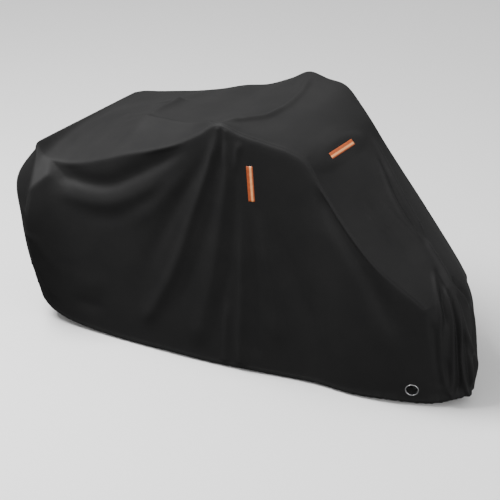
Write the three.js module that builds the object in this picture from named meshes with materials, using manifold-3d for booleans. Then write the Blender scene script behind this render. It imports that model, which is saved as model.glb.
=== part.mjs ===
// A fitted cloth cover for an adult tricycle, in the shape in which it hangs over one.
// Millimetres. X points forward, Y to the left, Z up, and the floor is at z = 0.
import * as THREE from "three";
import { mergeVertices } from "three/addons/utils/BufferGeometryUtils.js";
import Module from "manifold-3d";

// Driving sizes
const clothThickness = 2;
const seamGap = 0.4;
const originShift = 22;
const patchStart = 0.62;
const patchColumnX = 663;
const eyelet = { x: 802, z: 76, holeRadius: 25.4, outerRadius: 28, innerRadius: 23.2, flange: 1.2 };
const ringSides = 32;
const drillLength = 40;
const strip = { width: 26, thickness: 1, gap: 0.3 };
const sideStrip = { x: 157, z: 871, length: 150, slope: new THREE.Vector3(-8, 0, 148) };
const frontStrip = { b: 1412, t: -0.17, length: 172, slope: new THREE.Vector3(0, 1, 0) };

// How far each bend of the cloth spreads, and how steep one may be
const rearCornerSoftness = 26;
const frontCornerSoftness = 16;
const cornerBlend = 50;
const noseSoftness = 55;
const noseWindow = 70;
const steepestBend = 1.6;
const flattestCosine = 0.05;

// Folds start this far from a seam, and the cloth round an eyelet or a strip is flat this far
const seamWindow = 30;
const flatMargin = 34;
const flatFade = 1.8;

// The far side isn't the near side's exact mirror image: each fold is moved and deepened a little
const farFold = { shift: 24, shiftPace: 1.7, depth: 0.85, swing: 0.25, swingPace: 2.3 };
const creaseCrest = 0.22;
const creasePower = 1.4;

// At a rear corner the cloth falls aslant from its edge, by slope, as far out as reach, and then
// hangs. reach is given along x, and dies between the two heights of fadeZ. The bulge ends at a rear
// line, which runs between two points, and at a front line, which leans.
const droop = {
  slope: 0.95, lip: 4, edgeZ: 777,
  reachX: [-840, -800, -757, -700, -600], reach: [110, 70, 30, 7, 0], fadeZ: [30, 600],
  rearX: [-874, -906], rearZ: [777, 560], rearSlope: 1.5,
  frontX: -800, frontLean: 1.1, frontSlope: 1.6,
};

// How finely the shapes are worked out. A small step is in mm along a seam, and as a share of about
// 1000 mm down a side or of 300 mm across half of the band.
const probe = 8;
const smallStep = { along: 4, down: 4 / 1000, across: 4 / 300 };
const columnSteps = 29;
const samplesPerPoint = 4;
const searchSteps = 20;
const mergeTolerance = 1e-4;
const thinnestSeam = 0.7;

// Stations along the seam between top and side, from the rear corner over the grip to the front
// corner. Each row is a column of cloth from the seam down to the hem. aim turns the bulge of the
// column from straight out (0) towards the rear (90), and the three bulges are at 1/4, 1/2 and 3/4
// of its way down. softness is how far the bend at the seam spreads.
const seamColumns = [
  "x", "halfWidth", "z", "hemX", "hemHalfWidth", "hemZ",
  "aim", "bulgeHigh", "bulgeMiddle", "bulgeLow", "softness",
];
const nearStations = [
  [-870, 359, 829, -936, 322, 122, 80, 106, 90, 58, 10],
  [-830, 362, 781, -868, 336, 64, 62, 62, 66, 44, 6],
  [-750, 358, 774, -792, 339, 30, 30, 44, 44, 28, 7],
  [-643, 358, 794, -660, 335, 8, 4, 24, 30, 18, 8],
  [-540, 357, 829, -545, 329, 0, 0, 16, 20, 12, 8],
  [-420, 356, 879, -430, 323, 0, 0, 12, 14, 8, 8],
  [-290, 355, 927, -310, 315, 0, 0, 8, 10, 6, 8],
  [-175, 353, 977, -200, 306, 0, 0, 6, 8, 5, 8],
  [-60, 352, 1045, -85, 293, 0, 0, 6, 8, 5, 8],
  [31, 352, 1110, 20, 279, 0, 0, 6, 8, 6, 12],
  [117, 340, 1085, 130, 259, 0, 0, 6, 10, 8, 16],
  [210, 311, 1058, 240, 233, 0, 0, 8, 12, 10, 16],
  [303, 282, 1032, 345, 214, 0, 0, 10, 14, 10, 16],
  [359, 268, 1004, 402, 207, 0, 0, 12, 16, 10, 16],
  [424, 265, 914, 470, 205, 0, 0, 12, 18, 12, 12],
  [504, 268, 811, 552, 202, 0, 0, 10, 18, 14, 12],
  [580, 266, 723, 622, 192, 0, 0, 8, 16, 14, 12],
  [663, 254, 635, 692, 174, 0, -4, 6, 14, 12, 12],
  [768, 220, 542, 772, 147, 0, -10, 6, 10, 8, 12],
  [812, 202, 504, 828, 124, 0, -20, 4, 6, 4, 12],
  [857, 184, 459, 882, 97, 0, -30, 2, 2, 2, 14],
];
// The far edge hangs less behind the grips than the near one, and stands wider in front of them.
const farColumns = ["halfWidth", "z"];
const farEdge = [
  [359, 829],
  [362, 840],
  [358, 856],
  [358, 879],
  [357, 901],
  [356, 934],
  [355, 979],
  [353, 1008],
  [352, 1060],
  [352, 1112],
  [346, 1104],
  [334, 1094],
  [292, 1042],
  [268, 1001],
];

// Crown of the middle panel between its two seams. Each row has its place, the lean, and the crown
// at 1/4, 1/2 and 3/4 of the way across. The lean turns the crown from straight up (0) to the rear
// (-90) or the front (90). Here the place is the share of the way down the rear corner.
const rearCrowns = [
  [1, -90, 20, 30, 20],
  [0.66, -90, 36, 46, 36],
  [0.33, -88, 36, 46, 34],
  [0.1, -74, 14, 18, 14],
];
// Here the place is the x of the near seam.
const topCrowns = [
  [-866, -20, 0, 0, 0],
  [-750, 0, 35, 50, 27],
  [-643, 0, 47, 65, 36],
  [-540, 0, 58, 70, 42],
  [-458, 0, 60, 72, 41],
  [-420, 0, 53, 62, 33],
  [-290, 0, 36, 39, 20],
  [-175, 0, 20, 14, 4],
  [-60, 0, -3, -19, -14],
  [31, 0, -46, -62, -54],
  [117, 0, -36, -45, -34],
  [210, 0, -20, -26, -16],
  [303, 0, -6, -8, -5],
  [356, 12, 6, 6, 0],
  [420, 40, 20, 26, 13],
  [504, 50, 34, 48, 34],
  [576, 50, 42, 60, 42],
  [660, 52, 46, 66, 46],
  [765, 55, 48, 70, 48],
  [810, 58, 50, 72, 52],
  [855, 62, 56, 76, 60],
];
// Here the place is the share of the way down the front corner.
const frontCrowns = [
  [0.25, 84, 72, 98, 76],
  [0.5, 87, 80, 112, 84],
  [0.75, 85, 84, 117, 88],
  [1, 76, 70, 94, 72],
];

// Folds of the near side, as paths of [x, z]. A ridge has a depth above 0 and a trough one below.
// width is half its breadth at the start and the end, and fade the share over which it rises and
// dies. lean above 0 makes a fold wider on the left of its path, and crisp turns its round crest
// into a crease.
const nearFolds = [
  { name: "trough under the sagging edge", depth: -17, width: [34, 34], fade: [0.15, 0.25], lean: 0.35,
    path: [[-775, 728], [-700, 716], [-615, 708], [-500, 722], [-400, 776], [-312, 834], [-200, 912],
           [-100, 985]] },
  { name: "swag below the trough", depth: 9, width: [36, 34], fade: [0.15, 0.3],
    path: [[-775, 672], [-690, 648], [-619, 640], [-500, 654], [-377, 712], [-255, 800],
           [-140, 905]] },
  { name: "trough below the swag", depth: -4, width: [36, 28], fade: [0.3, 0.3],
    path: [[-700, 570], [-600, 566], [-500, 580], [-400, 630], [-300, 705], [-210, 790]] },
  { name: "lesser swag", depth: 6, width: [44, 24], fade: [0.35, 0.3],
    path: [[-440, 560], [-360, 620], [-270, 700], [-190, 790], [-120, 880]] },
  { name: "trough behind the first ridge", depth: -10, width: [22, 48], fade: [0.3, 0.3], lean: -0.1,
    path: [[-10, 1020], [-66, 900], [-128, 790], [-190, 680], [-250, 560], [-305, 440], [-350, 310],
           [-385, 180]] },
  { name: "first ridge from the grip", depth: 13, width: [15, 34], fade: [0.1, 0.12], lean: -0.1,
    path: [[16, 1075], [0, 960], [-46, 828], [-98, 690], [-150, 540], [-210, 395], [-285, 250],
           [-380, 90]] },
  { name: "trough between the ridges", depth: -6, width: [16, 34], fade: [0.5, 0.2],
    path: [[36, 1060], [20, 950], [4, 830], [-28, 690], [-74, 540], [-120, 410], [-180, 280],
           [-250, 150]] },
  { name: "second ridge from the grip", depth: 12, width: [14, 46], fade: [0.08, 0.12], lean: -0.15,
    path: [[60, 1050], [66, 925], [52, 820], [24, 663], [-6, 500], [-40, 352], [-80, 197],
           [-112, 50]] },
  { name: "trough before the hanging ridges", depth: -5, width: [14, 24], fade: [0.2, 0.15],
    path: [[92, 940], [84, 800], [72, 650], [52, 465], [18, 340], [-10, 230], [-36, 60]] },
  { name: "short ridge beside the grip", depth: 8, width: [10, 13], fade: [0.2, 0.4],
    path: [[122, 1050], [106, 985], [97, 890]] },
  { name: "first hanging ridge", depth: 8, width: [12, 15], fade: [0.3, 0.1],
    path: [[36, 340], [22, 180], [8, 10]] },
  { name: "second hanging ridge", depth: 11, width: [20, 22], fade: [0.4, 0.06],
    path: [[112, 800], [113, 600], [104, 345], [86, 144], [78, 0]] },
  { name: "trough between the hanging ridges", depth: -7, width: [16, 20], fade: [0.4, 0.1],
    path: [[140, 800], [152, 640], [158, 460], [156, 280], [144, 60]] },
  { name: "third hanging ridge", depth: 9, width: [22, 34], fade: [0.4, 0.2], lean: -0.15,
    path: [[172, 800], [200, 640], [226, 460], [240, 300], [246, 120]] },
  { name: "trough in front of it", depth: -7, width: [30, 46], fade: [0.4, 0.3],
    path: [[236, 790], [278, 615], [318, 475], [366, 340], [400, 200]] },
  { name: "broad front swell", depth: 10, width: [60, 50], fade: [0.2, 0.25], lean: -0.45,
    path: [[420, 830], [500, 690], [588, 565], [650, 452], [704, 345], [752, 235]] },
  { name: "trough below the front edge", depth: -12, width: [34, 46], fade: [0.15, 0.3], lean: 0.2,
    path: [[398, 915], [452, 835], [504, 764], [566, 680], [622, 590], [670, 500], [732, 370],
           [786, 230]] },
  { name: "low swell at the rear", depth: 3, width: [44, 44], fade: [0.4, 0.4],
    path: [[-720, 232], [-610, 246], [-500, 290]] },
  { name: "low hollow at the rear", depth: -5, width: [36, 36], fade: [0.4, 0.4],
    path: [[-745, 150], [-640, 138], [-530, 156]] },
];

// Folds of the middle panel, as paths of [distance along the near seam from the rear corner, y].
const middleFolds = [
  { name: "rear edge of the saddle", depth: 11, width: [26, 24], fade: [0.12, 0.2],
    lean: -0.45, crisp: 0.5,
    path: [[434, -142], [456, -95], [470, -40], [476, 20], [458, 112]] },
  { name: "ridge from saddle to grip", depth: 17, width: [34, 18], fade: [0.25, 0.12], lean: -0.6,
    path: [[277, -112], [430, -136], [560, -165], [700, -205], [861, -252], [975, -318]] },
  { name: "sagging ridge between the grips", depth: 10, width: [14, 15], fade: [0.15, 0.12], crisp: 0.3,
    path: [[1000, -325], [1008, -240], [1020, -160], [1041, -105], [1057, 42], [1049, 171],
           [1020, 310]] },
  { name: "long ridge down the front", depth: 9, width: [14, 12], fade: [0.2, 0.15], crisp: 0.3,
    path: [[1400, 192], [1440, 184], [1486, 173], [1551, 150], [1627, 117], [1705, 90], [1770, 70],
           [1836, 49], [1874, 27]] },
  { name: "groove beside the long ridge", depth: -6, width: [12, 9], fade: [0.2, 0.2],
    path: [[1495, 154], [1561, 116], [1627, 78], [1695, 44], [1761, 29], [1817, 19], [1865, 9]] },
  { name: "second long ridge", depth: 7, width: [13, 11], fade: [0.25, 0.15], crisp: 0.3,
    path: [[1500, 120], [1542, 97], [1608, 54], [1676, 19], [1752, 0], [1808, 0], [1855, 0],
           [1894, -9]] },
  { name: "hollow of the front slope", depth: -9, width: [60, 46], fade: [0.3, 0.3],
    path: [[1560, -110], [1700, -95], [1840, -80], [1960, -60]] },
  { name: "ridge over the wheel", depth: 10, width: [13, 12], fade: [0.15, 0.15],
    path: [[1865, 32], [1903, 12], [1951, 0], [2015, -15], [2079, -26], [2140, 6], [2187, 34]] },
  { name: "hollow behind the wheel ridge", depth: -13, width: [10, 16], fade: [0.3, 0.2],
    path: [[2041, 0], [2088, 4], [2129, 28], [2165, 52], [2190, 72]] },
  { name: "hollow above the gathers", depth: -7, width: [14, 12], fade: [0.3, 0.3],
    path: [[1975, -38], [2030, -45], [2085, -56]] },
  { name: "ridge below the wheel ridge", depth: 9, width: [9, 10], fade: [0.25, 0.2],
    path: [[2069, -28], [2125, -33], [2182, -36], [2241, -28], [2314, -6], [2378, 20], [2470, 40]] },
  { name: "valley inside the front corner", depth: -10, width: [11, 10], fade: [0.2, 0.1],
    path: [[2150, -162], [2200, -152], [2261, -143], [2392, -117], [2495, -103]] },
  { name: "first gather", depth: 10, width: [7, 9], fade: [0.1, 0.05], crisp: 0.4,
    path: [[1980, -52], [2006, -70], [2041, -92], [2107, -114], [2158, -120], [2207, -126],
           [2270, -122], [2353, -116], [2425, -101], [2500, -82], [2540, -70]] },
  { name: "first groove", depth: -9, width: [8, 7], fade: [0.2, 0.3],
    path: [[2041, -62], [2088, -89], [2125, -101], [2173, -104], [2220, -105]] },
  { name: "second gather", depth: 12, width: [7, 8], fade: [0.12, 0.05], crisp: 0.3,
    path: [[2050, -50], [2079, -66], [2136, -78], [2192, -82], [2251, -86], [2329, -84], [2411, -80],
           [2495, -74], [2560, -68]] },
  { name: "second groove", depth: -12, width: [8, 9], fade: [0.15, 0.1],
    path: [[2079, -42], [2136, -59], [2212, -66], [2285, -66], [2378, -63], [2467, -58],
           [2540, -54]] },
  { name: "lower first groove", depth: -6, width: [8, 7], fade: [0.3, 0.1],
    path: [[2330, -102], [2407, -92], [2467, -84], [2540, -78]] },
  { name: "third gather", depth: 11, width: [7, 8], fade: [0.2, 0.05], crisp: 0.3,
    path: [[2150, -44], [2241, -52], [2304, -57], [2373, -56], [2449, -47], [2528, -24],
           [2564, -12]] },
  { name: "third groove", depth: -9, width: [7, 9], fade: [0.25, 0.1],
    path: [[2220, -42], [2300, -34], [2368, -31], [2453, -23], [2540, -2]] },
  { name: "fourth gather", depth: 9, width: [8, 10], fade: [0.3, 0.05],
    path: [[2330, -20], [2400, -14], [2480, -8], [2564, -4]] },
  { name: "fourth groove", depth: -8, width: [10, 10], fade: [0.3, 0.1],
    path: [[2230, 20], [2340, 14], [2450, 12], [2550, 12]] },
  { name: "fifth gather", depth: 9, width: [11, 10], fade: [0.25, 0.05],
    path: [[2130, 60], [2300, 46], [2564, 34]] },
  { name: "sixth gather", depth: 9, width: [12, 10], fade: [0.25, 0.05],
    path: [[2080, 120], [2300, 96], [2564, 66]] },
];

// Grid lines: how many columns lie in each stretch of the seam, rows down the side and lines across.
const columnsPerStation = [3, 3, 3, 3, 2, 3, 3, 3, 3, 3, 3, 3, 3, 2, 3, 3, 3, 3, 2, 2];
const sideRows = [0, 0.03, 0.065, 0.1, 0.145, 0.2, 0.26, 0.33, 0.41, 0.5, patchStart, 0.74, 0.87, 1];
const middleLines = [-1, -0.92, -0.8, -0.66, -0.5, -0.34, -0.17, 0, 0.17, 0.34, 0.5, 0.66, 0.8, 0.92, 1];

// A smooth curve through the rows of a table, each row at its own knot.
function smoothTable(knots, rows) {
  const slope = (i) => rows[i + 1].map((value, k) => (value - rows[i][k]) / (knots[i + 1] - knots[i]));
  const last = knots.length - 1;
  const tangents = rows.map((row, i) => {
    if (i === 0) return slope(0);
    if (i === last) return slope(last - 1);
    const before = knots[i] - knots[i - 1];
    const after = knots[i + 1] - knots[i];
    const low = slope(i - 1);
    const high = slope(i);
    return low.map((value, k) => (value * after + high[k] * before) / (before + after));
  });
  return (place) => {
    const t = Math.min(Math.max(place, knots[0]), knots[last]);
    let i = 0;
    while (i < last - 1 && t >= knots[i + 1]) i += 1;
    const span = knots[i + 1] - knots[i];
    const s = (t - knots[i]) / span;
    const s2 = s * s;
    const s3 = s2 * s;
    return rows[i].map(
      (value, k) =>
        (2 * s3 - 3 * s2 + 1) * value +
        (s3 - 2 * s2 + s) * span * tangents[i][k] +
        (3 * s2 - 2 * s3) * rows[i + 1][k] +
        (s3 - s2) * span * tangents[i + 1][k],
    );
  };
}

// Rises smoothly from 0 at low to 1 at high.
function ease(low, high, value) {
  const t = Math.min(Math.max((value - low) / (high - low), 0), 1);
  return t * t * (3 - 2 * t);
}

// Weights of the three bulge heights at 1/4, 1/2 and 3/4 of a span that is held at both ends.
const spanWeights = smoothTable(
  [0, 0.25, 0.5, 0.75, 1],
  [[0, 0, 0], [1, 0, 0], [0, 1, 0], [0, 0, 1], [0, 0, 0]],
);

function running(points) {
  const sums = [0];
  for (let i = 1; i < points.length; i += 1) {
    const step = Math.hypot(...points[i].map((value, k) => value - points[i - 1][k]));
    sums.push(sums[i - 1] + step);
  }
  return sums;
}

const col = (columns, name) => columns.indexOf(name);
const seamKnots = running(nearStations.map((row) => row.slice(0, 3)));
const seamLength = seamKnots[seamKnots.length - 1];
const farStations = nearStations.map((row, i) => {
  const copy = [...row];
  if (i < farEdge.length) {
    farColumns.forEach((name, k) => {
      copy[col(seamColumns, name)] = farEdge[i][k];
    });
  }
  return copy;
});

// The two sides of the cover. sign is the direction of Y in which a side faces.
const near = { sign: -1, table: smoothTable(seamKnots, nearStations) };
const far = { sign: 1, table: smoothTable(seamKnots, farStations) };

// The smooth side without its folds, u along the seam in mm and v from the seam (0) to the hem (1).
function sideBase(side, u, v) {
  const [x, halfWidth, z, hemX, hemHalfWidth, hemZ, aim, high, middle, low] = side.table(u);
  const [a, b, c] = spanWeights(v);
  const bulge = a * high + b * middle + c * low;
  const turn = THREE.MathUtils.degToRad(aim);
  return new THREE.Vector3(
    x + (hemX - x) * v - Math.sin(turn) * bulge,
    side.sign * (halfWidth + (hemHalfWidth - halfWidth) * v + Math.cos(turn) * bulge),
    z + (hemZ - z) * v,
  );
}

function columnLength(side, u) {
  let sum = 0;
  for (let i = 0; i < columnSteps; i += 1) {
    sum += sideBase(side, u, i / columnSteps).distanceTo(sideBase(side, u, (i + 1) / columnSteps));
  }
  return sum;
}

const rearLength = columnLength(near, 0);
const frontLength = columnLength(near, seamLength);

// The middle panel is one band from the rear hem to the front hem. Its place b is 0 at the rear
// corner and grows forward along the near seam: below 0 it is on the rear face, past seamLength
// on the front face.
function seamPlaceAtX(x) {
  let i = 0;
  while (i < nearStations.length - 2 && x > nearStations[i + 1][0]) i += 1;
  const share = (x - nearStations[i][0]) / (nearStations[i + 1][0] - nearStations[i][0]);
  return seamKnots[i] + share * (seamKnots[i + 1] - seamKnots[i]);
}

const crown = smoothTable(
  [
    ...rearCrowns.map((row) => -rearLength * row[0]),
    ...topCrowns.map((row) => seamPlaceAtX(row[0])),
    ...frontCrowns.map((row) => seamLength + frontLength * row[0]),
  ],
  [...rearCrowns, ...topCrowns, ...frontCrowns].map((row) => row.slice(1)),
);

function downCorner(b) {
  if (b < 0) return Math.min(-b / rearLength, 1);
  return Math.min(Math.max((b - seamLength) / frontLength, 0), 1);
}

function edgeBase(side, b) {
  return sideBase(side, Math.min(Math.max(b, 0), seamLength), downCorner(b));
}

function middleBase(b, t) {
  const across = (t + 1) / 2;
  const [lean, nearHeight, middleHeight, farHeight] = crown(b);
  const [p, q, r] = spanWeights(across);
  const height = p * nearHeight + q * middleHeight + r * farHeight;
  const turn = THREE.MathUtils.degToRad(lean);
  const up = new THREE.Vector3(Math.sin(turn), 0, Math.cos(turn));
  return edgeBase(near, b).lerp(edgeBase(far, b), across).addScaledVector(up, height);
}

// How the bend at the seam is softened: the seam sinks towards the inside, and the cloth beside
// it sinks less with its distance from the seam, so both faces meet without a sharp edge.
function steepness(sharpness) {
  return sharpness / Math.sqrt(Math.max(1 - sharpness ** 2, flattestCosine));
}

function intoSide(side, b) {
  const u = Math.min(Math.max(b, 0), seamLength);
  const v = downCorner(b);
  const here = edgeBase(side, b);
  const step = probe / columnLength(side, u);
  const down = sideBase(side, u, v + step).sub(here).normalize();
  const behind = u < seamLength / 2;
  const along = sideBase(side, u + (behind ? probe : -probe), v).sub(here).normalize();
  const turned = behind
    ? ease(cornerBlend, -cornerBlend, b)
    : ease(-cornerBlend, cornerBlend, b - seamLength);
  return down.multiplyScalar(1 - turned).addScaledVector(along, turned).normalize();
}

function seamBend(side, b) {
  const here = edgeBase(side, b);
  const width = edgeBase(near, b).distanceTo(edgeBase(far, b));
  const inner = side.sign * (1 - (2 * probe) / width);
  const acrossTop = middleBase(b, inner).sub(here).normalize();
  const inside = intoSide(side, b).add(acrossTop);
  const sharpness = inside.length() / 2;
  inside.normalize();
  const table = side.table(Math.min(Math.max(b, 0), seamLength));
  const corner = b < 0 ? rearCornerSoftness : frontCornerSoftness;
  const share = b < 0 ? ease(0, -cornerBlend, b) : ease(seamLength, seamLength + cornerBlend, b);
  const softness = table[col(seamColumns, "softness")] * (1 - share) + corner * share;
  const sink = softness * Math.min(steepness(sharpness), steepestBend);
  return { inside, sharpness, softness, sink };
}

// The smoothed side and middle, still without folds.
function sideSmooth(side, u, v) {
  const top = seamBend(side, u);
  const down = Math.exp((-v * columnLength(side, u)) / top.softness);
  const fromRear = Math.exp(-u / rearCornerSoftness);
  const fromFront = Math.exp(-(seamLength - u) / frontCornerSoftness);
  const point = sideBase(side, u, v).addScaledVector(top.inside, top.sink * down);
  const pull = (b, weight) => {
    const bend = seamBend(side, b);
    point.addScaledVector(bend.inside, bend.sink * weight);
  };
  pull(-v * rearLength, fromRear);
  pull(0, -fromRear * down);
  pull(seamLength + v * frontLength, fromFront);
  pull(seamLength, -fromFront * down);
  return point;
}

// The middle panel also turns softly from the front slope to the front face.
function middleSmooth(b, t) {
  const halfWidth = edgeBase(near, b).distanceTo(edgeBase(far, b)) / 2;
  const nose = middleBase(seamLength, t);
  const back = middleBase(seamLength - probe, t).sub(nose).normalize();
  const inward = middleBase(seamLength + probe, t).sub(nose).normalize().add(back);
  const held = ease(0, noseWindow, halfWidth * (1 - Math.abs(t)));
  const fall = noseSoftness * steepness(inward.length() / 2) * held;
  const share = Math.exp(-Math.abs(b - seamLength) / noseSoftness);
  const point = middleBase(b, t).addScaledVector(inward.normalize(), fall * share);
  for (const side of [near, far]) {
    const distance = halfWidth * (1 - side.sign * t);
    const bend = seamBend(side, b);
    point.addScaledVector(bend.inside, bend.sink * Math.exp(-distance / bend.softness));
  }
  return point;
}

// A fold's path, sampled finely enough to follow its curve.
function sampled(fold) {
  const knots = running(fold.path);
  const along = smoothTable(knots, fold.path);
  const count = samplesPerPoint * fold.path.length;
  const total = knots[knots.length - 1];
  const points = Array.from({ length: count + 1 }, (_, i) => along((total * i) / count));
  const marks = running(points);
  return { ...fold, points, marks, total: marks[count] };
}

function foldHeight(folds, p, q) {
  let height = 0;
  for (const fold of folds) {
    let best = Infinity;
    let share = 0;
    let onLeft = false;
    for (let i = 0; i + 1 < fold.points.length; i += 1) {
      const [x, y] = fold.points[i];
      const dx = fold.points[i + 1][0] - x;
      const dy = fold.points[i + 1][1] - y;
      const length = Math.hypot(dx, dy);
      const t = Math.min(Math.max(((p - x) * dx + (q - y) * dy) / length ** 2, 0), 1);
      const distance = Math.hypot(p - x - t * dx, q - y - t * dy);
      if (distance < best) {
        best = distance;
        share = (fold.marks[i] + t * length) / fold.total;
        onLeft = dx * (q - y) > dy * (p - x);
      }
    }
    const width = fold.width[0] + (fold.width[1] - fold.width[0]) * share;
    const rise = ease(0, fold.fade[0], share) * (1 - ease(1 - fold.fade[1], 1, share));
    const { lean = 0, crisp = 0 } = fold;
    const away = best / (width * (1 + (onLeft ? lean : -lean)));
    const roundCrest = Math.exp(-(away ** 2));
    const sharpCrest = Math.exp(creasePower * (creaseCrest - Math.hypot(away, creaseCrest)));
    height += fold.depth * rise * (roundCrest + (sharpCrest - roundCrest) * crisp);
  }
  return height;
}

const farFolds = nearFolds.map((fold, i) => ({
  ...fold,
  depth: fold.depth * (farFold.depth + farFold.swing * Math.sin(farFold.swingPace * i)),
  path: fold.path.map(([x, z]) => [x + farFold.shift * Math.cos(farFold.shiftPace * i), z]),
}));
near.folds = nearFolds.map(sampled);
far.folds = farFolds.map(sampled);
const middleSampled = middleFolds.map(sampled);

// The lower of two heights, with a soft bend where they meet.
function softLower(a, b) {
  return (a + b - Math.hypot(a - b, 2 * droop.lip)) / 2;
}

const droopReach = smoothTable(droop.reachX, droop.reach.map((reach) => [reach]));

// How far the cloth stands out at a rear corner, at a place with the given x and z.
function droopingCorner(side, u, x, z) {
  const drop = side.table(u)[col(seamColumns, "z")] - z;
  const reach = droopReach(x)[0] * ease(...droop.fadeZ, z);
  const [highZ, lowZ] = droop.rearZ;
  const down = THREE.MathUtils.clamp((highZ - z) / (highZ - lowZ), 0, 1);
  const rear = THREE.MathUtils.lerp(...droop.rearX, down);
  const front = droop.frontX + droop.frontLean * (droop.edgeZ - z);
  const hanging = softLower(drop * droop.slope, reach);
  const closedBehind = softLower(hanging, (x - rear) * droop.rearSlope);
  return Math.max(0, softLower(closedBehind, (front - x) * droop.frontSlope));
}

function sideNormal(side, u, v) {
  const { along, down } = smallStep;
  const alongU = sideBase(side, u + along, v).sub(sideBase(side, u - along, v));
  const alongV = sideBase(side, u, v + down).sub(sideBase(side, u, v - down));
  return alongU.cross(alongV).normalize().multiplyScalar(side.sign);
}

function middleNormal(b, t) {
  const { along, across } = smallStep;
  const alongB = middleBase(b + along, t).sub(middleBase(b - along, t));
  const alongT = middleBase(b, t + across).sub(middleBase(b, t - across));
  return alongB.cross(alongT).normalize();
}

function sideFolded(side, u, v) {
  const base = sideBase(side, u, v);
  const fromSeam = Math.min(v * columnLength(side, u), u, seamLength - u);
  const height = foldHeight(side.folds, base.x, base.z) * ease(0, seamWindow, fromSeam);
  const point = sideSmooth(side, u, v).addScaledVector(sideNormal(side, u, v), height);
  point.y += side.sign * droopingCorner(side, u, base.x, base.z);
  return point;
}

function middleFolded(b, t) {
  const base = middleBase(b, t);
  const halfWidth = edgeBase(near, b).distanceTo(edgeBase(far, b)) / 2;
  const fromSeam = halfWidth * (1 - Math.abs(t));
  const height = foldHeight(middleSampled, b, base.y) * ease(0, seamWindow, fromSeam);
  return middleSmooth(b, t).addScaledVector(middleNormal(b, t), height);
}

// A flat spot, where the cloth lies in one plane under an eyelet or a strip.
function flatSpot(centre, normal, longAxis, halfLength, halfWidth) {
  const long = longAxis.clone().addScaledVector(normal, -longAxis.dot(normal)).normalize();
  const wide = normal.clone().cross(long);
  return { centre, normal, long, wide, halfLength, halfWidth };
}

function flatten(point, spots) {
  for (const spot of spots) {
    const offset = point.clone().sub(spot.centre);
    const distance = Math.hypot(
      offset.dot(spot.long) / (spot.halfLength + flatMargin),
      offset.dot(spot.wide) / (spot.halfWidth + flatMargin),
    );
    const depth = offset.dot(spot.normal);
    if (Math.abs(depth) > flatMargin) continue;
    point.addScaledVector(spot.normal, -depth * (1 - ease(1, flatFade, distance)));
  }
  return point;
}

// The place (u, v) on a side whose point has the given x and z.
function findOnSide(side, x, z) {
  let u = seamPlaceAtX(x);
  let v = 0.5;
  const { along, down } = smallStep;
  for (let i = 0; i < searchSteps; i += 1) {
    const here = sideBase(side, u, v);
    const alongU = sideBase(side, u + along, v).sub(here).divideScalar(along);
    const alongV = sideBase(side, u, v + down).sub(here).divideScalar(down);
    const det = alongU.x * alongV.z - alongV.x * alongU.z;
    const dx = x - here.x;
    const dz = z - here.z;
    u += (dx * alongV.z - alongV.x * dz) / det;
    v += (alongU.x * dz - dx * alongU.z) / det;
  }
  return [u, v];
}

const upright = new THREE.Vector3(0, 0, 1);

for (const side of [near, far]) {
  const at = (x, z) => {
    const [u, v] = findOnSide(side, x, z);
    return [sideFolded(side, u, v), sideNormal(side, u, v)];
  };
  const eyeletRadius = eyelet.outerRadius;
  side.eyeletSpot = flatSpot(...at(eyelet.x, eyelet.z), upright, eyeletRadius, eyeletRadius);
  const stripPlace = at(sideStrip.x, sideStrip.z);
  side.stripSpot = flatSpot(...stripPlace, sideStrip.slope, sideStrip.length / 2, strip.width / 2);
}
const frontSpot = flatSpot(
  middleFolded(frontStrip.b, frontStrip.t),
  middleNormal(frontStrip.b, frontStrip.t),
  frontStrip.slope,
  frontStrip.length / 2,
  strip.width / 2,
);

// Grid lines of the panels
const seamStops = [0];
columnsPerStation.forEach((count, i) => {
  for (let k = 1; k <= count; k += 1) {
    seamStops.push(seamKnots[i] + ((seamKnots[i + 1] - seamKnots[i]) * k) / count);
  }
});
const bandStops = [
  ...[...sideRows].reverse().map((v) => -v * rearLength),
  ...seamStops.slice(1),
  ...sideRows.slice(1).map((v) => seamLength + v * frontLength),
];

// Towards the inside at a seam, as long as the cloth is thick when measured square to its faces.
function seamInward(side, b) {
  const { inside, sharpness } = seamBend(side, b);
  const square = Math.max(Math.sqrt(1 - sharpness ** 2), thinnestSeam);
  return inside.multiplyScalar(clothThickness / square);
}

function gridInward(outer, i, j, sign) {
  const rows = outer.length - 1;
  const cols = outer[0].length - 1;
  const alongI = outer[Math.min(i + 1, rows)][j].clone().sub(outer[Math.max(i - 1, 0)][j]);
  const alongJ = outer[i][Math.min(j + 1, cols)].clone().sub(outer[i][Math.max(j - 1, 0)]);
  return alongI.cross(alongJ).normalize().multiplyScalar(-sign * clothThickness);
}

// Two skins of a panel, as grids of points: the outer one and the one a cloth's thickness inside.
function sideSkins(side) {
  const outer = seamStops.map((u) =>
    sideRows.map((v) => flatten(sideFolded(side, u, v), [side.eyeletSpot, side.stripSpot])),
  );
  const last = seamStops.length - 1;
  const inner = outer.map((column, i) =>
    column.map((point, j) => {
      if (j === 0) return point.clone().add(seamInward(side, seamStops[i]));
      if (i === 0) return point.clone().add(seamInward(side, -sideRows[j] * rearLength));
      if (i === last) return point.clone().add(seamInward(side, seamLength + sideRows[j] * frontLength));
      return point.clone().add(gridInward(outer, i, j, side.sign));
    }),
  );
  return { outer, inner, facing: side.sign };
}

function middleSkins() {
  const outer = bandStops.map((b) =>
    middleLines.map((t) => flatten(middleFolded(b, t), [frontSpot])),
  );
  const last = middleLines.length - 1;
  const inner = outer.map((row, i) =>
    row.map((point, j) => {
      if (j === 0) return point.clone().add(seamInward(near, bandStops[i]));
      if (j === last) return point.clone().add(seamInward(far, bandStops[i]));
      return point.clone().add(gridInward(outer, i, j, 1));
    }),
  );
  return { outer, inner, facing: 1 };
}

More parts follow.
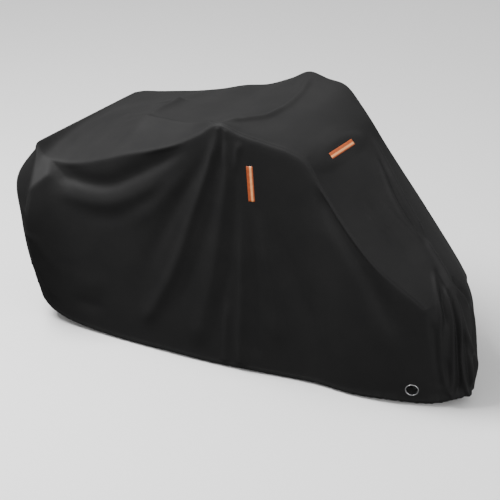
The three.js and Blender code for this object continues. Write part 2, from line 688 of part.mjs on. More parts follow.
// The closed solid of the cells that belong to one piece. Its edge keeps half a seam gap back.
function pieceGeometry({ outer, inner, facing }, belongs) {
  const rows = outer.length;
  const cols = outer[0].length;
  const inPiece = (i, j) => i >= 0 && j >= 0 && i < rows - 1 && j < cols - 1 && belongs(i, j);
  const centre = (i, j) =>
    new THREE.Vector3()
      .add(outer[i][j])
      .add(outer[i + 1][j])
      .add(outer[i][j + 1])
      .add(outer[i + 1][j + 1])
      .divideScalar(4);
  const positions = [];
  const numbers = new Map();
  const vertex = (i, j, skin) => {
    const key = (i * cols + j) * 2 + skin;
    if (!numbers.has(key)) {
      const around = [[i - 1, j - 1], [i - 1, j], [i, j - 1], [i, j]].filter(([a, b]) => inPiece(a, b));
      const point = (skin ? inner : outer)[i][j].clone();
      if (around.length < 4) {
        const aim = new THREE.Vector3();
        for (const [a, b] of around) aim.add(centre(a, b));
        aim.divideScalar(around.length).sub(outer[i][j]).normalize();
        const corner = around.length === 2 ? 1 : Math.SQRT2;
        point.addScaledVector(aim, (corner * seamGap) / 2);
      }
      numbers.set(key, positions.length / 3);
      positions.push(point.x, point.y, point.z);
    }
    return numbers.get(key);
  };
  const faces = [];
  const quad = (a, b, c, d) => faces.push(a, b, c, a, c, d);
  const corners = [[0, 0], [1, 0], [1, 1], [0, 1]];
  for (let i = 0; i < rows - 1; i += 1) {
    for (let j = 0; j < cols - 1; j += 1) {
      if (!inPiece(i, j)) continue;
      const order = facing > 0 ? [0, 1, 2, 3] : [0, 3, 2, 1];
      const first = outer[i][j].distanceTo(outer[i + 1][j + 1]);
      const second = outer[i + 1][j].distanceTo(outer[i][j + 1]);
      const turned = order.map((_, k) => corners[order[(k + (first < second ? 0 : 1)) % 4]]);
      const out = turned.map(([di, dj]) => vertex(i + di, j + dj, 0));
      const back = turned.map(([di, dj]) => vertex(i + di, j + dj, 1));
      quad(...out);
      quad(back[0], back[3], back[2], back[1]);
      const neighbours = [[i, j - 1], [i + 1, j], [i, j + 1], [i - 1, j]];
      neighbours.forEach(([a, b], k) => {
        if (inPiece(a, b)) return;
        const ends = [corners[k], corners[(k + 1) % 4]].map(([di, dj]) => [i + di, j + dj]);
        const [from, to] = facing > 0 ? ends : ends.reverse();
        const wall = [vertex(...from, 0), vertex(...from, 1), vertex(...to, 1), vertex(...to, 0)];
        const fall = outer[from[0]][from[1]].distanceTo(inner[to[0]][to[1]]);
        const rise = inner[from[0]][from[1]].distanceTo(outer[to[0]][to[1]]);
        if (fall > rise) wall.push(wall.shift());
        quad(...wall);
      });
    }
  }
  const geometry = new THREE.BufferGeometry();
  geometry.setAttribute("position", new THREE.Float32BufferAttribute(positions, 3));
  geometry.setIndex(faces);
  geometry.computeVertexNormals();
  return geometry;
}

// One side is made of its panel and of the patch at the front hem that holds the eyelet.
const patchColumn = seamStops.findIndex((u) => u >= seamPlaceAtX(patchColumnX));
const patchRow = sideRows.indexOf(patchStart);
const inPatch = (i, j) => i >= patchColumn && j >= patchRow;

const clothMaterial = new THREE.MeshStandardMaterial({ color: 0x1d1d1f, roughness: 0.82, metalness: 0 });
const ringMaterial = new THREE.MeshStandardMaterial({ color: 0xb9bbbe, roughness: 0.25, metalness: 1 });
const stripMaterial = new THREE.MeshStandardMaterial({ color: 0xd9702c, roughness: 0.4, metalness: 0 });

const wasm = await Module();
wasm.setup();

function asSolid(geometry) {
  const bare = geometry.clone();
  bare.deleteAttribute("normal");
  bare.deleteAttribute("uv");
  const merged = mergeVertices(bare, mergeTolerance);
  const vertProperties = new Float32Array(merged.attributes.position.array);
  const triVerts = new Uint32Array(merged.index.array);
  return new wasm.Manifold(new wasm.Mesh({ numProp: 3, vertProperties, triVerts }));
}

function asGeometry(solid) {
  const { vertProperties, triVerts } = solid.getMesh();
  const geometry = new THREE.BufferGeometry();
  geometry.setAttribute("position", new THREE.BufferAttribute(vertProperties, 3));
  geometry.setIndex(new THREE.BufferAttribute(triVerts, 1));
  geometry.computeVertexNormals();
  return geometry;
}

// Turns an object so that its own Y points along normal and its own Z along long.
function standOn(object, centre, normal, long) {
  const wide = normal.clone().cross(long);
  object.matrix.makeBasis(wide, normal, long).setPosition(centre);
  object.matrix.decompose(object.position, object.quaternion, object.scale);
  return object;
}

function patchWithHole(geometry, spot) {
  const { holeRadius } = eyelet;
  const drill = new THREE.Mesh(new THREE.CylinderGeometry(holeRadius, holeRadius, drillLength, ringSides));
  standOn(drill, spot.centre, spot.normal, spot.long);
  drill.updateMatrix();
  const bore = drill.geometry.applyMatrix4(drill.matrix);
  return asGeometry(asSolid(geometry).subtract(asSolid(bore)));
}

// A metal ring with a barrel through the hole and a flange on each face of the cloth.
function eyeletGeometry() {
  const low = clothThickness / 2 + seamGap;
  const out = low + eyelet.flange;
  const barrel = eyelet.holeRadius - seamGap;
  const profile = [
    [eyelet.innerRadius, -out],
    [eyelet.outerRadius, -out],
    [eyelet.outerRadius, -low],
    [barrel, -low],
    [barrel, low],
    [eyelet.outerRadius, low],
    [eyelet.outerRadius, out],
    [eyelet.innerRadius, out],
    [eyelet.innerRadius, -out],
  ].map(([r, h]) => new THREE.Vector2(r, h));
  return new THREE.LatheGeometry(profile, ringSides);
}

function named(name, geometry, material) {
  const mesh = new THREE.Mesh(geometry, material);
  mesh.name = name;
  return mesh;
}

function stripMesh(name, spot) {
  const shape = new THREE.BoxGeometry(2 * spot.halfWidth, strip.thickness, 2 * spot.halfLength);
  const lift = strip.gap + strip.thickness / 2;
  const centre = spot.centre.clone().addScaledVector(spot.normal, lift);
  return standOn(named(name, shape, stripMaterial), centre, spot.normal, spot.long);
}

function sideGroup(side, word) {
  const group = new THREE.Group();
  const skins = sideSkins(side);
  const patch = pieceGeometry(skins, inPatch);
  const panel = pieceGeometry(skins, (i, j) => !inPatch(i, j));
  const ring = named(`${word}_eyelet`, eyeletGeometry(), ringMaterial);
  const spot = side.eyeletSpot;
  const middle = spot.centre.clone().addScaledVector(spot.normal, -clothThickness / 2);
  group.add(named(`${word}_side_panel`, panel, clothMaterial));
  group.add(named(`${word}_hem_patch`, patchWithHole(patch, spot), clothMaterial));
  group.add(standOn(ring, middle, spot.normal, spot.long));
  group.add(stripMesh(`${word}_strip`, side.stripSpot));
  return group;
}

// The origin lies on the floor under the middle of the cover.
const cover = new THREE.Group();
cover.position.x = originShift;
cover.add(sideGroup(near, "right"));
cover.add(sideGroup(far, "left"));
cover.add(named("middle_panel", pieceGeometry(middleSkins(), () => true), clothMaterial));
cover.add(stripMesh("front_strip", frontSpot));

export default cover;
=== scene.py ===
import math

import bpy
import numpy as np
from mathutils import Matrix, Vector


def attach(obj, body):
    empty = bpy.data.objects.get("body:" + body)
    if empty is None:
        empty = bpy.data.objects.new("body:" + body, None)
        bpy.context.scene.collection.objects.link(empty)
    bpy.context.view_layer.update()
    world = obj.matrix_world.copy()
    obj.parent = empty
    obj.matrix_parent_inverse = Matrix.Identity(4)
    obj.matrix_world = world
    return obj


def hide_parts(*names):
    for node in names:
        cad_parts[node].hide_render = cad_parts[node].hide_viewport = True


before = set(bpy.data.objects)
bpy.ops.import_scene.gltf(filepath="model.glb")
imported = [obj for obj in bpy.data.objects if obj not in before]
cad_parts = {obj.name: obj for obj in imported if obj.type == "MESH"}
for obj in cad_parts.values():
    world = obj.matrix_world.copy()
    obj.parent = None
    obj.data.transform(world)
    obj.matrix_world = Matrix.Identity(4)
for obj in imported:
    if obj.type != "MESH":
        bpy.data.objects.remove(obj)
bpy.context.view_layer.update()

# A fitted cloth cover for an adult tricycle, in the shape in which it hangs over one.
# The tables are in millimetres, as the frame's solids were made. X points forward, Y to the left
# and Z up. The near side is the rider's right one.

# Driving sizes
MM = 0.001
ORIGIN_SHIFT = 22
CLOTH_THICKNESS = 1.6
REAR_CORNER_SOFTNESS = 26
FRONT_CORNER_SOFTNESS = 16
SEAM_WINDOW = 30
FINE_WINDOW = 10
PROBE = 8
CORNER_BLEND = 50
LEAST_COSINE_SQUARE = 0.05
MOST_STEEP = 1.6
NOSE_SOFTNESS = 55
NOSE_WINDOW = 70
SMALL_STEP = 4
SIDE_SPAN = 1000
MIDDLE_SPAN = 300
SEARCH_ROUNDS = 20
PATCH_START = 0.62
PATCH_X = 663
GRID_SLACK = {"u": 1, "v": 0.001}
SAMPLES_PER_POINT = 4
CREST = 0.22
CREST_POWER = 1.4
FAR_FOLD = {"shift": 24, "shift_pace": 1.7, "depth": 0.85, "swing": 0.25, "swing_pace": 2.3}
CAD_CLOTH = 2
RING = {
    "steps": 96, "gap": 0.4, "height": 2.4, "dome_steps": 14,
    "washer": (0.9, 1.2), "washer_bevel": 0.5,
}
STRIP = {
    "across": 14, "along": 40, "thick": 1.0, "gap": 0.3, "dome": 1.1, "round": (-0.6, 1.4),
    "ripple": 0.22, "ripple_pace": (17, 0.6), "ripple_fade": 4,
}
EYELET = {"x": 802, "z": 76, "hole": 25.4, "outer": 28, "inner": 23.2}
SIDE_STRIP = {"x": 157, "z": 871, "length": 150, "width": 26, "slope": (-8, 0, 148)}
FRONT_STRIP = {"b": 1412, "t": -0.17, "length": 172, "width": 26, "slope": (0, 1, 0)}
DROOP = {
    "slope": 0.95, "lip": 4, "eave_z": 777,
    "reach_x": (-840, -800, -757, -700, -600), "reach": (110, 70, 30, 7, 0), "fade_z": (30, 600),
    "rear_x": (-874, -906), "rear_z": (777, 560), "rear_slope": 1.5,
    "front_x": -800, "front_lean": 1.1, "front_slope": 1.6,
}
HEM = {
    "front_x": (480, 860), "axis_x": (-720, 640),
    "height": (16, 32), "turn": (11, 22), "puff": (4, 8), "pucker": (0.8, 3.0),
    "pucker_reach": 2.4, "slant": 0.8, "waves": ((41, 0.7), (27, 0.45), (67, 0.5)),
    "lift": (3, 0), "lift_pitch": 330, "lift_phase": 2.0, "lift_reach": 160,
}
FLAT_MARGIN = 14
FLAT_FADE = 2.2

# Looks. A noise is (scale, detail, roughness), a ramp (low, high, start, end), and a bump
# (distance in m, strength).
CLOTH = {
    "thread": 0.0011, "dark": (0.0102, 0.0102, 0.0104), "worn": (0.0136, 0.0134, 0.0134),
    "dust": (7, 5, 0.6), "dust_wear": (0, 0.75, 0.35, 0.72),
    "grain": (160, 2, 0.6), "grain_wear": (0, 0.25, 0.3, 0.7),
    "crumple": (22, 4, 0.5), "roughness": (0.56, 0.68),
    "specular": 0.14, "sheen": 0.006, "sheen_roughness": 0.5,
    "crumple_bump": (0.004, 0.12), "grain_bump": (0.0008, 0.1), "weave_bump": (0.00025, 0.35),
}
# The hem's row of stitches and the edge of its doubled cloth, in m above the hem
STITCHES = {
    "line": 0.021, "pitch": 0.0042, "groove": (1, 0, 0.0006, 0.0022), "dash": (0.3, 1, -0.2, 0.5),
    "cloth_edge": (0.004, 0.0052), "bump": (0.0007, 0.8),
}
RING_LOOK = {
    "pale": (0.5, 0.505, 0.51), "dull": (0.34, 0.34, 0.35), "wear": (120, 4, 0.6),
    "roughness": (0.16, 0.42), "bump": (0.0004, 0.15),
}
# The tape's pale band is a silvery reflective stripe, and its pale colour also paints the highlight
# along the tape's dome.
TAPE_LOOK = {
    "orange": (0.46, 0.088, 0.012), "deep": (0.27, 0.045, 0.008), "pale": (0.86, 0.36, 0.14),
    "rub": (45, 4, 0.6), "stripe_and_highlight_place": 0.36, "band": (1, 0, 0.13, 0.2),
    "roughness": (0.5, 0.24), "bump": (0.001, 0.2),
}
FLOOR = {"size": 60, "colour": (0.86, 0.86, 0.86), "roughness": 0.9}

# The room is brightest where "from" points, and darkest below and behind the cover. A light is
# (name, place, aim, size, power), in m and W.
ROOM = {
    "from": (0.1, -0.5, 0.3), "around": (0.4, 0.95, -0.6, 0.4),
    "below": (0.15, 1, -0.9, -0.35), "behind": (0.2, 1, -0.9, -0.35),
}
LIGHTS = [
    ("overhead softbox", (-1.8, -1.5, 4.6), (0, 0, 0.5), 2.2, 505),
    ("front fill", (4.6, -1.2, 1.2), (0.5, 0, 0.4), 2.4, 60),
]
CAMERA = {"place": (3.524, -5.548, 3.595), "aim": (-0.028, 0, 0.405), "lens": 126.9, "sensor": 36}

# Stations along the seam between top and side, from the rear corner over the grip to the front
# corner. Each row is a column of cloth from the seam down to the hem.
SEAM_COLUMNS = [
    "x", "half_width", "z", "hem_x", "hem_half_width", "hem_z",
    "aim", "bulge_high", "bulge_middle", "bulge_low", "softness",
]
NEAR_STATIONS = [
    (-870, 359, 829, -936, 322, 122, 80, 106, 90, 58, 10),
    (-830, 362, 781, -868, 336, 64, 62, 62, 66, 44, 6),
    (-750, 358, 774, -792, 339, 30, 30, 44, 44, 28, 7),
    (-643, 358, 794, -660, 335, 8, 4, 24, 30, 18, 8),
    (-540, 357, 829, -545, 329, 0, 0, 16, 20, 12, 8),
    (-420, 356, 879, -430, 323, 0, 0, 12, 14, 8, 8),
    (-290, 355, 927, -310, 315, 0, 0, 8, 10, 6, 8),
    (-175, 353, 977, -200, 306, 0, 0, 6, 8, 5, 8),
    (-60, 352, 1045, -85, 293, 0, 0, 6, 8, 5, 8),
    (31, 352, 1110, 20, 279, 0, 0, 6, 8, 6, 12),
    (117, 340, 1085, 130, 259, 0, 0, 6, 10, 8, 16),
    (210, 311, 1058, 240, 233, 0, 0, 8, 12, 10, 16),
    (303, 282, 1032, 345, 214, 0, 0, 10, 14, 10, 16),
    (359, 268, 1004, 402, 207, 0, 0, 12, 16, 10, 16),
    (424, 265, 914, 470, 205, 0, 0, 12, 18, 12, 12),
    (504, 268, 811, 552, 202, 0, 0, 10, 18, 14, 12),
    (580, 266, 723, 622, 192, 0, 0, 8, 16, 14, 12),
    (663, 254, 635, 692, 174, 0, -4, 6, 14, 12, 12),
    (768, 220, 542, 772, 147, 0, -10, 6, 10, 8, 12),
    (812, 202, 504, 828, 124, 0, -20, 4, 6, 4, 12),
    (857, 184, 459, 882, 97, 0, -30, 2, 2, 2, 14),
]
# The far edge, half width and z, as it replaces the first rows on the far side.
FAR_EDGE = [
    (359, 829), (362, 840), (358, 856), (358, 879), (357, 901), (356, 934), (355, 979),
    (353, 1008), (352, 1060), (352, 1112), (346, 1104), (334, 1094), (292, 1042), (268, 1001),
]
# Crown of the middle panel: place, lean, and the heights at 1/4, 1/2 and 3/4 across. place is the
# share of the way down the corner, or the x of the near seam.
REAR_CROWNS = [
    (1, -90, 20, 30, 20), (0.66, -90, 36, 46, 36), (0.33, -88, 36, 46, 34), (0.1, -74, 14, 18, 14),
]
TOP_CROWNS = [
    (-866, -20, 0, 0, 0), (-750, 0, 35, 50, 27), (-643, 0, 47, 65, 36), (-540, 0, 58, 70, 42),
    (-458, 0, 60, 72, 41), (-420, 0, 53, 62, 33), (-290, 0, 36, 39, 20), (-175, 0, 20, 14, 4),
    (-60, 0, -3, -19, -14), (31, 0, -46, -62, -54), (117, 0, -36, -45, -34), (210, 0, -20, -26, -16),
    (303, 0, -6, -8, -5), (356, 12, 6, 6, 0), (420, 40, 20, 26, 13), (504, 50, 34, 48, 34),
    (576, 50, 42, 60, 42), (660, 52, 46, 66, 46), (765, 55, 48, 70, 48), (810, 58, 50, 72, 52),
    (855, 62, 56, 76, 60),
]
FRONT_CROWNS = [
    (0.25, 84, 72, 98, 76), (0.5, 87, 80, 112, 84), (0.75, 85, 84, 117, 88), (1, 76, 70, 94, 72),
]


def fold(name, depth, width, fade, path, lean=0.0, crisp=0.0):
    """A ridge (depth above 0) or a trough, in mm. width is half its breadth at its start and end,
    fade the share over which it rises and dies. lean above 0 makes it wider on the left of its path,
    and crisp turns its round crest into a crease."""
    return {
        "name": name, "depth": depth, "width": width, "fade": fade, "path": path,
        "lean": lean, "crisp": crisp,
    }


# Main folds of the near side, as paths of (x, z).
SIDE_FOLDS = [
    fold("trough under the sagging edge", -17, (34, 34), (0.15, 0.25),
         [(-775, 728), (-700, 716), (-615, 708), (-500, 722), (-400, 776), (-312, 834),
          (-200, 912), (-100, 985)],
         lean=0.35),
    fold("swag below the trough", 9, (36, 34), (0.15, 0.3),
         [(-775, 672), (-690, 648), (-619, 640), (-500, 654), (-377, 712), (-255, 800), (-140, 905)]),
    fold("trough below the swag", -4, (36, 28), (0.3, 0.3),
         [(-700, 570), (-600, 566), (-500, 580), (-400, 630), (-300, 705), (-210, 790)]),
    fold("lesser swag", 6, (44, 24), (0.35, 0.3),
         [(-440, 560), (-360, 620), (-270, 700), (-190, 790), (-120, 880)]),
    fold("trough behind the first ridge", -10, (22, 48), (0.3, 0.5),
         [(-10, 1020), (-66, 900), (-128, 790), (-190, 680), (-250, 560), (-305, 440), (-350, 310),
          (-385, 180)],
         lean=-0.1),
    fold("first ridge from the grip", 13, (15, 34), (0.1, 0.12),
         [(16, 1075), (0, 960), (-46, 828), (-98, 690), (-150, 540), (-210, 395), (-285, 250),
          (-380, 90)],
         lean=-0.1),
    fold("trough between the ridges", -6, (16, 34), (0.5, 0.2),
         [(36, 1060), (20, 950), (4, 830), (-28, 690), (-74, 540), (-120, 410), (-180, 280),
          (-250, 150)]),
    fold("second ridge from the grip", 12, (14, 46), (0.08, 0.12),
         [(60, 1050), (66, 925), (52, 820), (24, 663), (-6, 500), (-40, 352), (-80, 197), (-112, 50)],
         lean=-0.15),
    fold("trough before the hanging ridges", -5, (14, 24), (0.2, 0.15),
         [(92, 940), (84, 800), (72, 650), (52, 465), (18, 340), (-10, 230), (-36, 60)]),
    fold("short ridge beside the grip", 8, (10, 13), (0.2, 0.4),
         [(122, 1050), (106, 985), (97, 890)]),
    fold("first hanging ridge", 8, (12, 15), (0.3, 0.1),
         [(36, 340), (22, 180), (8, 10)]),
    fold("second hanging ridge", 11, (20, 22), (0.4, 0.06),
         [(112, 800), (113, 600), (104, 345), (86, 144), (78, 0)]),
    fold("trough between the hanging ridges", -7, (16, 20), (0.4, 0.1),
         [(140, 800), (152, 640), (158, 460), (156, 280), (144, 60)]),
    fold("third hanging ridge", 9, (22, 34), (0.4, 0.2),
         [(172, 800), (200, 640), (226, 460), (240, 300), (246, 120)], lean=-0.15),
    fold("trough in front of it", -7, (30, 46), (0.4, 0.3),
         [(236, 790), (278, 615), (318, 475), (366, 340), (400, 200)]),
    fold("broad front swell", 5, (60, 50), (0.2, 0.25),
         [(420, 830), (500, 690), (588, 565), (650, 452), (704, 345), (752, 235)], lean=-0.45),
    fold("trough below the front edge", -12, (34, 46), (0.15, 0.3),
         [(398, 915), (452, 835), (504, 764), (566, 680), (622, 590), (670, 500), (732, 370),
          (786, 230)],
         lean=0.2),
    fold("low swell at the rear", 3, (44, 44), (0.4, 0.4),
         [(-720, 232), (-610, 246), (-500, 290)]),
    fold("low hollow at the rear", -5, (36, 36), (0.4, 0.4),
         [(-745, 150), (-640, 138), (-530, 156)]),
]

# Main folds of the middle panel, as paths of (b, y), where b is the distance along the near seam.
MIDDLE_FOLDS = [
    fold("rear edge of the saddle", 11, (26, 24), (0.12, 0.2),
         [(434, -142), (456, -95), (470, -40), (476, 20), (458, 112)], lean=-0.45, crisp=0.5),
    fold("ridge from saddle to grip", 17, (34, 18), (0.25, 0.12),
         [(277, -112), (430, -136), (560, -165), (700, -205), (861, -252), (975, -318)], lean=-0.6),
    fold("sagging ridge between the grips", 10, (14, 15), (0.15, 0.12),
         [(1000, -325), (1008, -240), (1020, -160), (1041, -105), (1057, 42), (1049, 171), (1020, 310)],
         crisp=0.3),
    fold("long ridge down the front", 9, (14, 12), (0.2, 0.15),
         [(1400, 192), (1440, 184), (1486, 173), (1551, 150), (1627, 117), (1705, 90), (1770, 70),
          (1836, 49),
          (1874, 27)], crisp=0.3),
    fold("groove beside the long ridge", -6, (12, 9), (0.2, 0.2),
         [(1495, 154), (1561, 116), (1627, 78), (1695, 44), (1761, 29), (1817, 19), (1865, 9)]),
    fold("second long ridge", 7, (13, 11), (0.25, 0.15),
         [(1500, 120), (1542, 97), (1608, 54), (1676, 19), (1752, 0), (1808, 0), (1855, 0),
          (1894, -9)], crisp=0.3),
    fold("hollow of the front slope", -9, (60, 46), (0.3, 0.3),
         [(1560, -110), (1700, -95), (1840, -80), (1960, -60)]),
    fold("ridge over the wheel", 10, (13, 12), (0.15, 0.15),
         [(1865, 32), (1903, 12), (1951, 0), (2015, -15), (2079, -26), (2140, 6), (2187, 34)]),
    fold("hollow behind the wheel ridge", -13, (10, 16), (0.3, 0.2),
         [(2041, 0), (2088, 4), (2129, 28), (2165, 52), (2190, 72)]),
    fold("hollow above the gathers", -7, (14, 12), (0.3, 0.3), [(1975, -38), (2030, -45), (2085, -56)]),
    fold("ridge below the wheel ridge", 9, (9, 10), (0.25, 0.2),
         [(2069, -28), (2125, -33), (2182, -36), (2241, -28), (2314, -6), (2378, 20), (2470, 40)]),
    fold("valley inside the front corner", -10, (11, 10), (0.2, 0.1),
         [(2150, -162), (2200, -152), (2261, -143), (2392, -117), (2495, -103)]),
    fold("first gather", 10, (7, 9), (0.1, 0.05),
         [(1980, -52), (2006, -70), (2041, -92), (2107, -114), (2158, -120), (2207, -126), (2270, -122),
          (2353, -116), (2425, -101), (2500, -82), (2540, -70)], crisp=0.4),
    fold("first groove", -9, (8, 7), (0.2, 0.3),
         [(2041, -62), (2088, -89), (2125, -101), (2173, -104), (2220, -105)]),
    fold("second gather", 12, (7, 8), (0.12, 0.05),
         [(2050, -50), (2079, -66), (2136, -78), (2192, -82), (2251, -86), (2329, -84),
          (2411, -80), (2495, -74),
          (2560, -68)], crisp=0.3),
    fold("second groove", -12, (8, 9), (0.15, 0.1),
         [(2079, -42), (2136, -59), (2212, -66), (2285, -66), (2378, -63), (2467, -58), (2540, -54)]),
    fold("lower first groove", -6, (8, 7), (0.3, 0.1),
         [(2330, -102), (2407, -92), (2467, -84), (2540, -78)]),
    fold("third gather", 11, (7, 8), (0.2, 0.05),
         [(2150, -44), (2241, -52), (2304, -57), (2373, -56), (2449, -47), (2528, -24),
          (2564, -12)], crisp=0.3),
    fold("third groove", -9, (7, 9), (0.25, 0.1),
         [(2220, -42), (2300, -34), (2368, -31), (2453, -23), (2540, -2)]),
    fold("fourth gather", 9, (8, 10), (0.3, 0.05), [(2330, -20), (2400, -14), (2480, -8), (2564, -4)]),
    fold("fourth groove", -8, (10, 10), (0.3, 0.1), [(2230, 20), (2340, 14), (2450, 12), (2550, 12)]),
    fold("fifth gather", 9, (11, 10), (0.25, 0.05), [(2130, 60), (2300, 46), (2564, 34)]),
    fold("sixth gather", 9, (12, 10), (0.25, 0.05), [(2080, 120), (2300, 96), (2564, 66)]),
]


def path_of(folds, name):
    return next(row["path"] for row in folds if row["name"] == name)


# Finer creases, which only this sheet has. They start closer to the seams.
SIDE_CREASES = [
    fold("thin ridge round the rear corner", 8, (10, 10), (0.1, 0.25),
         [(-972, 640), (-962, 560), (-918, 499), (-862, 476), (-820, 440), (-802, 390),
          (-780, 319), (-757, 235)]),
    fold("lower thin ridge at the rear corner", 6, (10, 10), (0.15, 0.25),
         [(-941, 410), (-917, 357), (-880, 318), (-846, 280), (-834, 210), (-818, 150), (-778, 120)]),
    fold("crease at the grip", 5, (8, 10), (0.1, 0.5),
         [(26, 1098), (24, 1050), (14, 990), (-8, 920)], crisp=0.4),
    fold("groove at the grip", -3, (7, 10), (0.1, 0.5),
         [(44, 1095), (42, 1040), (34, 960), (24, 880)]),
    fold("second crease at the grip", 5, (7, 10), (0.1, 0.5),
         [(58, 1092), (62, 1035), (66, 970)], crisp=0.4),
    fold("crest of the second hanging ridge", 4, (10, 10), (0.3, 0.1),
         [(112, 780), *path_of(SIDE_FOLDS, "second hanging ridge")[1:4], (80, 20)], crisp=0.4),
    fold("crest of the third hanging ridge", 3, (12, 14), (0.3, 0.4),
         [(176, 780), *path_of(SIDE_FOLDS, "third hanging ridge")[1:4]], crisp=0.4),
]
MIDDLE_CREASES = [
    fold("first streak on the front slope", 3.5, (9, 9), (0.3, 0.3),
         [(1608, -127), (1666, -120), (1733, -104), (1789, -85)]),
    fold("second streak on the front slope", 3.5, (9, 9), (0.25, 0.2),
         [(1637, -49), (1695, -39), (1770, -29), (1826, -19), (1884, -9)]),
    fold("third streak on the front slope", 2.5, (9, 9), (0.3, 0.3),
         [(1666, -151), (1724, -140), (1770, -124)]),
    fold("first streak behind the saddle", 4, (14, 12), (0.3, 0.2),
         [(330, 90), (390, 60), (440, 44), (470, 50)]),
    fold("second streak behind the saddle", 4, (18, 12), (0.3, 0.2),
         [(230, -60), (310, -70), (390, -84), (440, -110)]),
    fold("crest of the saddle's rear edge", 7, (14, 14), (0.15, 0.2),
         path_of(MIDDLE_FOLDS, "rear edge of the saddle"), lean=-0.4, crisp=0.5),
    fold("crest of the ridge from saddle to grip", 7, (20, 14), (0.2, 0.15),
         [(400, -130), *path_of(MIDDLE_FOLDS, "ridge from saddle to grip")[2:]], lean=-0.5, crisp=0.3),
    fold("crest between the grips", 3, (11, 11), (0.15, 0.12),
         path_of(MIDDLE_FOLDS, "sagging ridge between the grips")[:5], crisp=0.5),
]
RIM = {"inset": 10, "depth": 1.5, "width": 8, "first": 13}

# Grid of a panel: (end of a stretch as a share, steps in it)
SEAM_PITCH = 10
SIDE_ROWS = [(0.03, 8), (0.14, 14), (PATCH_START, 46), (0.9, 28), (1, 20)]
MIDDLE_LINES = [(0.03, 6), (0.1, 5), (0.9, 88), (0.97, 5), (1, 6)]


def smooth_table(knots, rows):
    """A smooth curve through the rows of a table, each row at its own knot."""
    knots = np.asarray(knots, float)
    rows = np.asarray(rows, float)
    span = np.diff(knots)[:, None]
    slope = np.diff(rows, axis=0) / span
    before, after = span[:-1], span[1:]
    inner = (slope[:-1] * after + slope[1:] * before) / (before + after)
    tangent = np.concatenate([slope[:1], inner, slope[-1:]])

    def at(place):
        place = np.clip(np.asarray(place, float), knots[0], knots[-1])
        i = np.clip(np.searchsorted(knots, place, side="right") - 1, 0, len(span) - 1)
        h = span[i]
        s = (place - knots[i])[..., None] / h
        s2 = s * s
        s3 = s2 * s
        start = (2 * s3 - 3 * s2 + 1) * rows[i] + (s3 - 2 * s2 + s) * h * tangent[i]
        return start + (3 * s2 - 2 * s3) * rows[i + 1] + (s3 - s2) * h * tangent[i + 1]

    return at


def ease(low, high, value):
    """Rises smoothly from 0 at low to 1 at high."""
    t = np.clip((value - low) / (high - low), 0, 1)
    return t * t * (3 - 2 * t)


def unit(vectors):
    return vectors / np.maximum(np.linalg.norm(vectors, axis=-1, keepdims=True), 1e-12)


def length_of(vectors):
    return np.linalg.norm(vectors, axis=-1)


def running(points):
    return np.concatenate([[0], np.cumsum(length_of(np.diff(np.asarray(points, float), axis=0)))])


# Weights of the three bulge heights at 1/4, 1/2 and 3/4 of a span that is held at both ends.
span_weights = smooth_table(
    [0, 0.25, 0.5, 0.75, 1],
    [(0, 0, 0), (1, 0, 0), (0, 1, 0), (0, 0, 1), (0, 0, 0)],
)

SEAM_X = [row[0] for row in NEAR_STATIONS]
SEAM_KNOTS = running([row[:3] for row in NEAR_STATIONS])
SEAM_LENGTH = SEAM_KNOTS[-1]
FAR_STATIONS = [
    row[:1] + FAR_EDGE[i] + row[3:] if i < len(FAR_EDGE) else row
    for i, row in enumerate(NEAR_STATIONS)
]
NEAR = {"sign": -1, "table": smooth_table(SEAM_KNOTS, NEAR_STATIONS)}
FAR = {"sign": 1, "table": smooth_table(SEAM_KNOTS, FAR_STATIONS)}
SOFTNESS = SEAM_COLUMNS.index("softness")


def side_base(side, u, v):
    """The smooth side without its folds, u along the seam in mm and v from seam (0) to hem (1)."""
    u, v = np.broadcast_arrays(np.asarray(u, float), np.asarray(v, float))
    x, half, z, hem_x, hem_half, hem_z, aim, high, middle, low, _ = np.moveaxis(side["table"](u), -1, 0)
    a, b, c = np.moveaxis(span_weights(v), -1, 0)
    bulge = a * high + b * middle + c * low
    turn = np.radians(aim)
    return np.stack([
        x + (hem_x - x) * v - np.sin(turn) * bulge,
        side["sign"] * (half + (hem_half - half) * v + np.cos(turn) * bulge),
        z + (hem_z - z) * v,
    ], -1)


def column_length(side, u, steps=29):
    places = np.linspace(0, 1, steps + 1)
    column = side_base(side, np.asarray(u, float)[..., None], places)
    return length_of(np.diff(column, axis=-2)).sum(-1)


REAR_LENGTH = float(column_length(NEAR, 0))
FRONT_LENGTH = float(column_length(NEAR, SEAM_LENGTH))


def seam_place_at_x(x):
    return np.interp(x, SEAM_X, SEAM_KNOTS)


crown = smooth_table(
    [-REAR_LENGTH * row[0] for row in REAR_CROWNS]
    + [float(seam_place_at_x(row[0])) for row in TOP_CROWNS]
    + [SEAM_LENGTH + FRONT_LENGTH * row[0] for row in FRONT_CROWNS],
    [row[1:] for row in REAR_CROWNS + TOP_CROWNS + FRONT_CROWNS],
)


def down_corner(b):
    behind = np.clip(-b / REAR_LENGTH, 0, 1)
    before = np.clip((b - SEAM_LENGTH) / FRONT_LENGTH, 0, 1)
    return np.maximum(behind, before)


def edge_base(side, b):
    return side_base(side, np.clip(b, 0, SEAM_LENGTH), down_corner(b))


def middle_base(b, t):
    """The smooth middle panel, b along the band in mm and t from the near (-1) to the far seam (1)."""
    b, t = np.broadcast_arrays(np.asarray(b, float), np.asarray(t, float))
    across = (t + 1) / 2
    lean, near_height, middle_height, far_height = np.moveaxis(crown(b), -1, 0)
    p, q, r = np.moveaxis(span_weights(across), -1, 0)
    height = p * near_height + q * middle_height + r * far_height
    turn = np.radians(lean)
    up = np.stack([np.sin(turn), 0 * turn, np.cos(turn)], -1)
    a, z = edge_base(NEAR, b), edge_base(FAR, b)
    return a + (z - a) * across[..., None] + up * height[..., None]


def band_width(b):
    return length_of(edge_base(NEAR, b) - edge_base(FAR, b))


